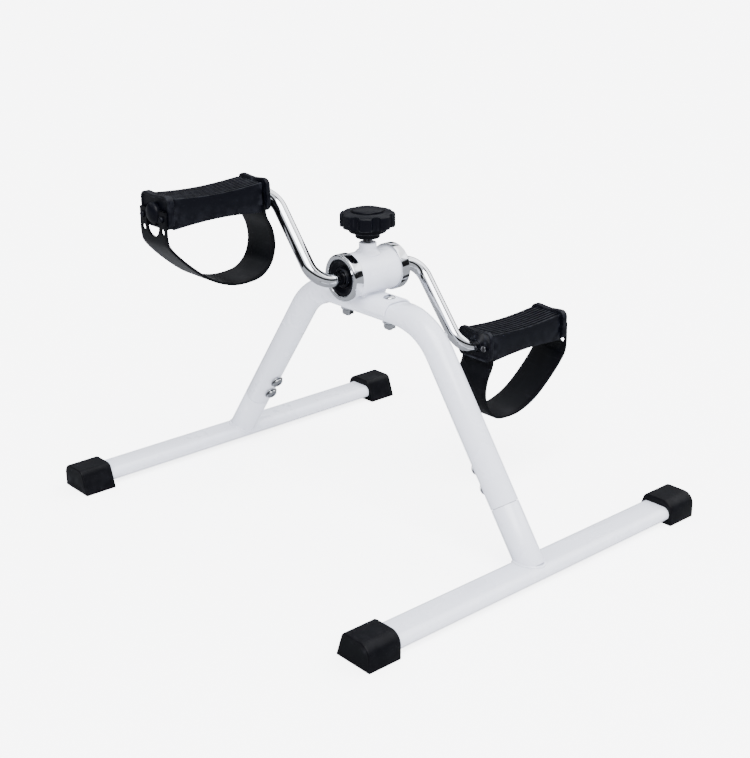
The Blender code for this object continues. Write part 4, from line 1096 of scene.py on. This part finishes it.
def plate_screw(side):
    """A cross-slotted screw that holds the inner end plate."""
    x, y = FLANGE_INNER[0] - GAP, side * SCREW_Y
    profile = [(0, -2 * MM), (1.4 * MM, -2 * MM), (1.4 * MM, 0), (2.8 * MM, 0), (3 * MM, 0.3 * MM)]
    profile += [(2.7 * MM, 1 * MM), (1.8 * MM, 1.45 * MM), (0, 1.6 * MM)]
    screw = turned("plate_screw", profile, (x, y, 0), (-1, 0, 0), 32)
    for wide, tall in ((1.6 * MM, 0.35 * MM), (0.35 * MM, 1.6 * MM)):
        cut(screw, block("slot", (x - 3 * MM, y - wide, -tall), (x - 0.7 * MM, y + wide, tall)))
    return screw


def strap_line():
    """The strap's middle line in X-Z, from behind the inner plate round under the foot to the pegs."""
    start = TREAD[0] - GAP - STRAP_THICKNESS / 2
    end = FLANGE_OUTER[1] + GAP + STRAP_THICKNESS / 2
    low = STRAP_LOW.z - PINS["right"].z + STRAP_THICKNESS / 2
    span = end - start
    controls = [(start, -6.6 * MM), (start, FLANGE_Z[0])]
    shares = [(-0.015, 0.26), (-0.07, 0.42), (-0.09, 0.62), (-0.05, 0.82), (0.04, 0.95), (0.16, 1.0)]
    shares += [(0.36, 0.995), (0.58, 0.88), (0.79, 0.66), (0.96, 0.42)]
    controls += [(start + along * span, down * low) for along, down in shares]
    controls += [(end, FORK_Z), (end, PEG_Z / 2), (end, PEG_Z / 2 + TONGUE_HALF)]
    return smooth_line([Vector(point) for point in controls], 7)


def smooth_line(points, steps):
    """A smooth curve through the points."""
    padded = [2 * points[0] - points[1]] + points + [2 * points[-1] - points[-2]]
    line = []
    for a, b, c, d in zip(padded, padded[1:], padded[2:], padded[3:]):
        for i in range(steps):
            t = i / steps
            turn = (2 * a - 5 * b + 4 * c - d) * t**2 + (3 * b - a - 3 * c + d) * t**3
            line.append((2 * b + (c - a) * t + turn) / 2)
    line.append(points[-1])
    return line


def foot_strap():
    """A band laid along its line, cut to a fork with two holes in each tongue, its edges rounded."""
    line = strap_line()
    columns = 8
    bpy.ops.object.select_all(action="DESELECT")
    bpy.ops.mesh.primitive_grid_add(x_subdivisions=len(line) - 1, y_subdivisions=columns, size=2)
    strap = bpy.context.object
    strap.name = "strap_band"
    strap.data.name = "strap_band"
    last = len(line) - 1
    for vert in strap.data.vertices:
        row = round((vert.co.x + 1) / 2 * last)
        vert.co = (line[row].x, vert.co.y * STRAP_HALF, line[row].y)
    face_out(strap)
    modify(strap, "SOLIDIFY", thickness=STRAP_THICKNESS, offset=0)
    face_out(strap)
    outer = FLANGE_OUTER[1]
    near, far = outer - 3 * MM, outer + 9 * MM
    gap_half = PEG_Y - TONGUE_HALF
    crotch = FORK_Z + gap_half
    cutter = pin("fork", gap_half, (near, 0, crotch), (far, 0, crotch), 64)
    weld_on(cutter, block("fork_top", (near, -gap_half, crotch), (far, gap_half, 12 * MM)))
    cut(strap, cutter)
    tip = line[-1].y - 0.1 * MM

    def tongue_corner(edge):
        place = middle(edge)
        return runs_along(edge, 0) and place.z > tip and place.x > TREAD[1]

    open_up(strap, "EDGE")
    pick(strap, "edges", tongue_corner)
    bpy.ops.mesh.bevel(offset=4.2 * MM, segments=8)
    close_up()
    for side in (-1, 1):
        for z in (PEG_Z, PEG_Z - TONGUE_HOLE_PITCH):
            cut(strap, pin("hole", 2.9 * MM, (near, side * PEG_Y, z), (far, side * PEG_Y, z), 32))
    cut(strap, pin("pin_hole", ROD_RADIUS + 2 * GAP, (FLANGE_INNER[0], 0, 0), (TREAD[0] + 2 * MM, 0, 0), 48))
    soften(strap, 0.45 * MM, 3, 50)
    return strap


def pedals():
    """Each pedal piece at the right pin, and a copy turned half round at the left pin."""
    pieces = [
        (tread_block(), "body", "black_plastic"),
        (inner_plate(), "inner_flange", "black_plastic"),
        (outer_plate(), "outer_flange", "black_plastic"),
        (axle_dome(), "axle_cap", "black_plastic"),
        (plate_screw(-1), "screw_1", "black_steel"),
        (plate_screw(1), "screw_2", "black_steel"),
        (foot_strap(), "strap", "strap_rubber"),
    ]
    for piece, part, slot in pieces:
        for side, turn in (("left", math.pi), ("right", 0)):
            twin = copy_of(piece, f"{side}_{part}_shape")
            twin.rotation_euler = (0, 0, turn)
            twin.location = PINS[side]
            settle(twin)
            fit(twin, f"{side}_pedal", slot, f"{side}_pedal_{part}")
        bpy.data.objects.remove(piece)


# ---------------------------------------------------------------- carried-over nodes, stage and light


def coat_frame_nodes():
    """Give every CAD node its slot's finish."""
    for part in frame["record"]["subparts"]:
        node = frame["nodes"][part["node"]]
        node.data.materials.clear()
        node.data.materials.append(FINISHES[part["material_slot"]])


def stage():
    """A pale floor that runs past every view: it glows evenly white to the camera, and glossy rays see it dark
    grey, a painted reflection that darkens what chrome and plastic mirror from below.
    """
    bpy.ops.object.select_all(action="DESELECT")
    bpy.ops.mesh.primitive_plane_add(size=40)
    floor = bpy.context.object
    floor.name = "pale_floor"
    material = bpy.data.materials.new("pale_floor")
    material.use_nodes = True
    shader = material.node_tree.nodes["Principled BSDF"]
    seen = material.node_tree.nodes.new("ShaderNodeLightPath")
    painted_reflection_tone = material.node_tree.nodes.new("ShaderNodeMix")
    painted_reflection_tone.data_type = "RGBA"
    painted_reflection_tone.inputs[6].default_value = (0.93, 0.93, 0.935, 1)
    # Painted reflection: dark grey seen by glossy rays only, so reflections of the floor come out darker than the
    # floor itself.
    painted_reflection_tone.inputs[7].default_value = (0.16, 0.165, 0.175, 1)
    material.node_tree.links.new(seen.outputs["Is Glossy Ray"], painted_reflection_tone.inputs[0])
    material.node_tree.links.new(painted_reflection_tone.outputs[2], shader.inputs["Base Color"])
    shader.inputs["Roughness"].default_value = 0.7
    shader.inputs["Emission Color"].default_value = (1, 1, 1, 1)
    glow = combine(material.node_tree, seen.outputs["Is Camera Ray"], 4.0)
    material.node_tree.links.new(glow, shader.inputs["Emission Strength"])
    floor.data.materials.append(material)


def lights():
    """Soft even light from all round, with dark bands that only reflections see, and two broad suns."""
    world = bpy.data.worlds.new("studio")
    bpy.context.scene.world = world
    world.use_nodes = True
    tree = world.node_tree
    background = tree.nodes["Background"]
    place = tree.nodes.new("ShaderNodeTexCoord")
    split = tree.nodes.new("ShaderNodeSeparateXYZ")
    bands = tree.nodes.new("ShaderNodeValToRGB")
    tree.links.new(place.outputs["Generated"], split.inputs["Vector"])
    tree.links.new(split.outputs["Z"], bands.inputs["Fac"])
    stops = [(0.0, 0.5), (0.02, 0.01), (0.36, 0.015), (0.44, 1.0)]
    stops += [(0.62, 1.1), (0.66, 0.05), (0.80, 0.06), (0.86, 1.3)]
    ramp = bands.color_ramp
    for i, (position, level) in enumerate(stops):
        stop = ramp.elements[i] if i < 2 else ramp.elements.new(position)
        stop.position = position
        stop.color = (0.95 * level, 0.97 * level, 1.02 * level, 1)
    seen = tree.nodes.new("ShaderNodeLightPath")
    mix = tree.nodes.new("ShaderNodeMix")
    mix.data_type = "RGBA"
    tree.links.new(seen.outputs["Is Glossy Ray"], mix.inputs[0])
    mix.inputs[6].default_value = (0.93, 0.95, 1.0, 1)
    tree.links.new(bands.outputs["Color"], mix.inputs[7])
    tree.links.new(mix.outputs[2], background.inputs["Color"])
    background.inputs["Strength"].default_value = 1.7
    suns = [("key", (-0.9, -1.3, 2.2), 7.0, 50), ("fill", (1.6, -0.4, 1.6), 2.4, 60)]
    for name, place, strength, spread in suns:
        light = bpy.data.lights.new(name, "SUN")
        light.energy = strength
        light.angle = math.radians(spread)
        lamp = bpy.data.objects.new(name, light)
        lamp.rotation_euler = Vector(place).to_track_quat("Z", "Y").to_euler()
        bpy.context.scene.collection.objects.link(lamp)


def camera():
    """The camera stands off the front left corner, looking down over the hub."""
    yaw, pitch, roll = math.radians(48.95), math.radians(20.78), math.radians(-0.48)
    view = bpy.data.cameras.new("camera")
    view.sensor_fit = "AUTO"
    view.sensor_width = 36
    view.lens = 65.13
    view.clip_start = 0.01
    eye = bpy.data.objects.new("camera", view)
    forward = Vector((math.cos(yaw) * math.cos(pitch), math.sin(yaw) * math.cos(pitch), -math.sin(pitch)))
    turn = forward.to_track_quat("-Z", "Y").to_matrix() @ Matrix.Rotation(roll, 3, "Z")
    eye.rotation_euler = turn.to_euler()
    eye.location = (-0.7793, -0.9033, 0.5769)
    bpy.context.scene.collection.objects.link(eye)
    bpy.context.scene.camera = eye


coat_frame_nodes()
base_bar()
foot_caps()
arch_tube()
leg_bolts()
hub_housing()
saddle_fasteners()
hub_ends()
crank()
tension_knob()
tension_screw()
pedals()
stage()
lights()
camera()
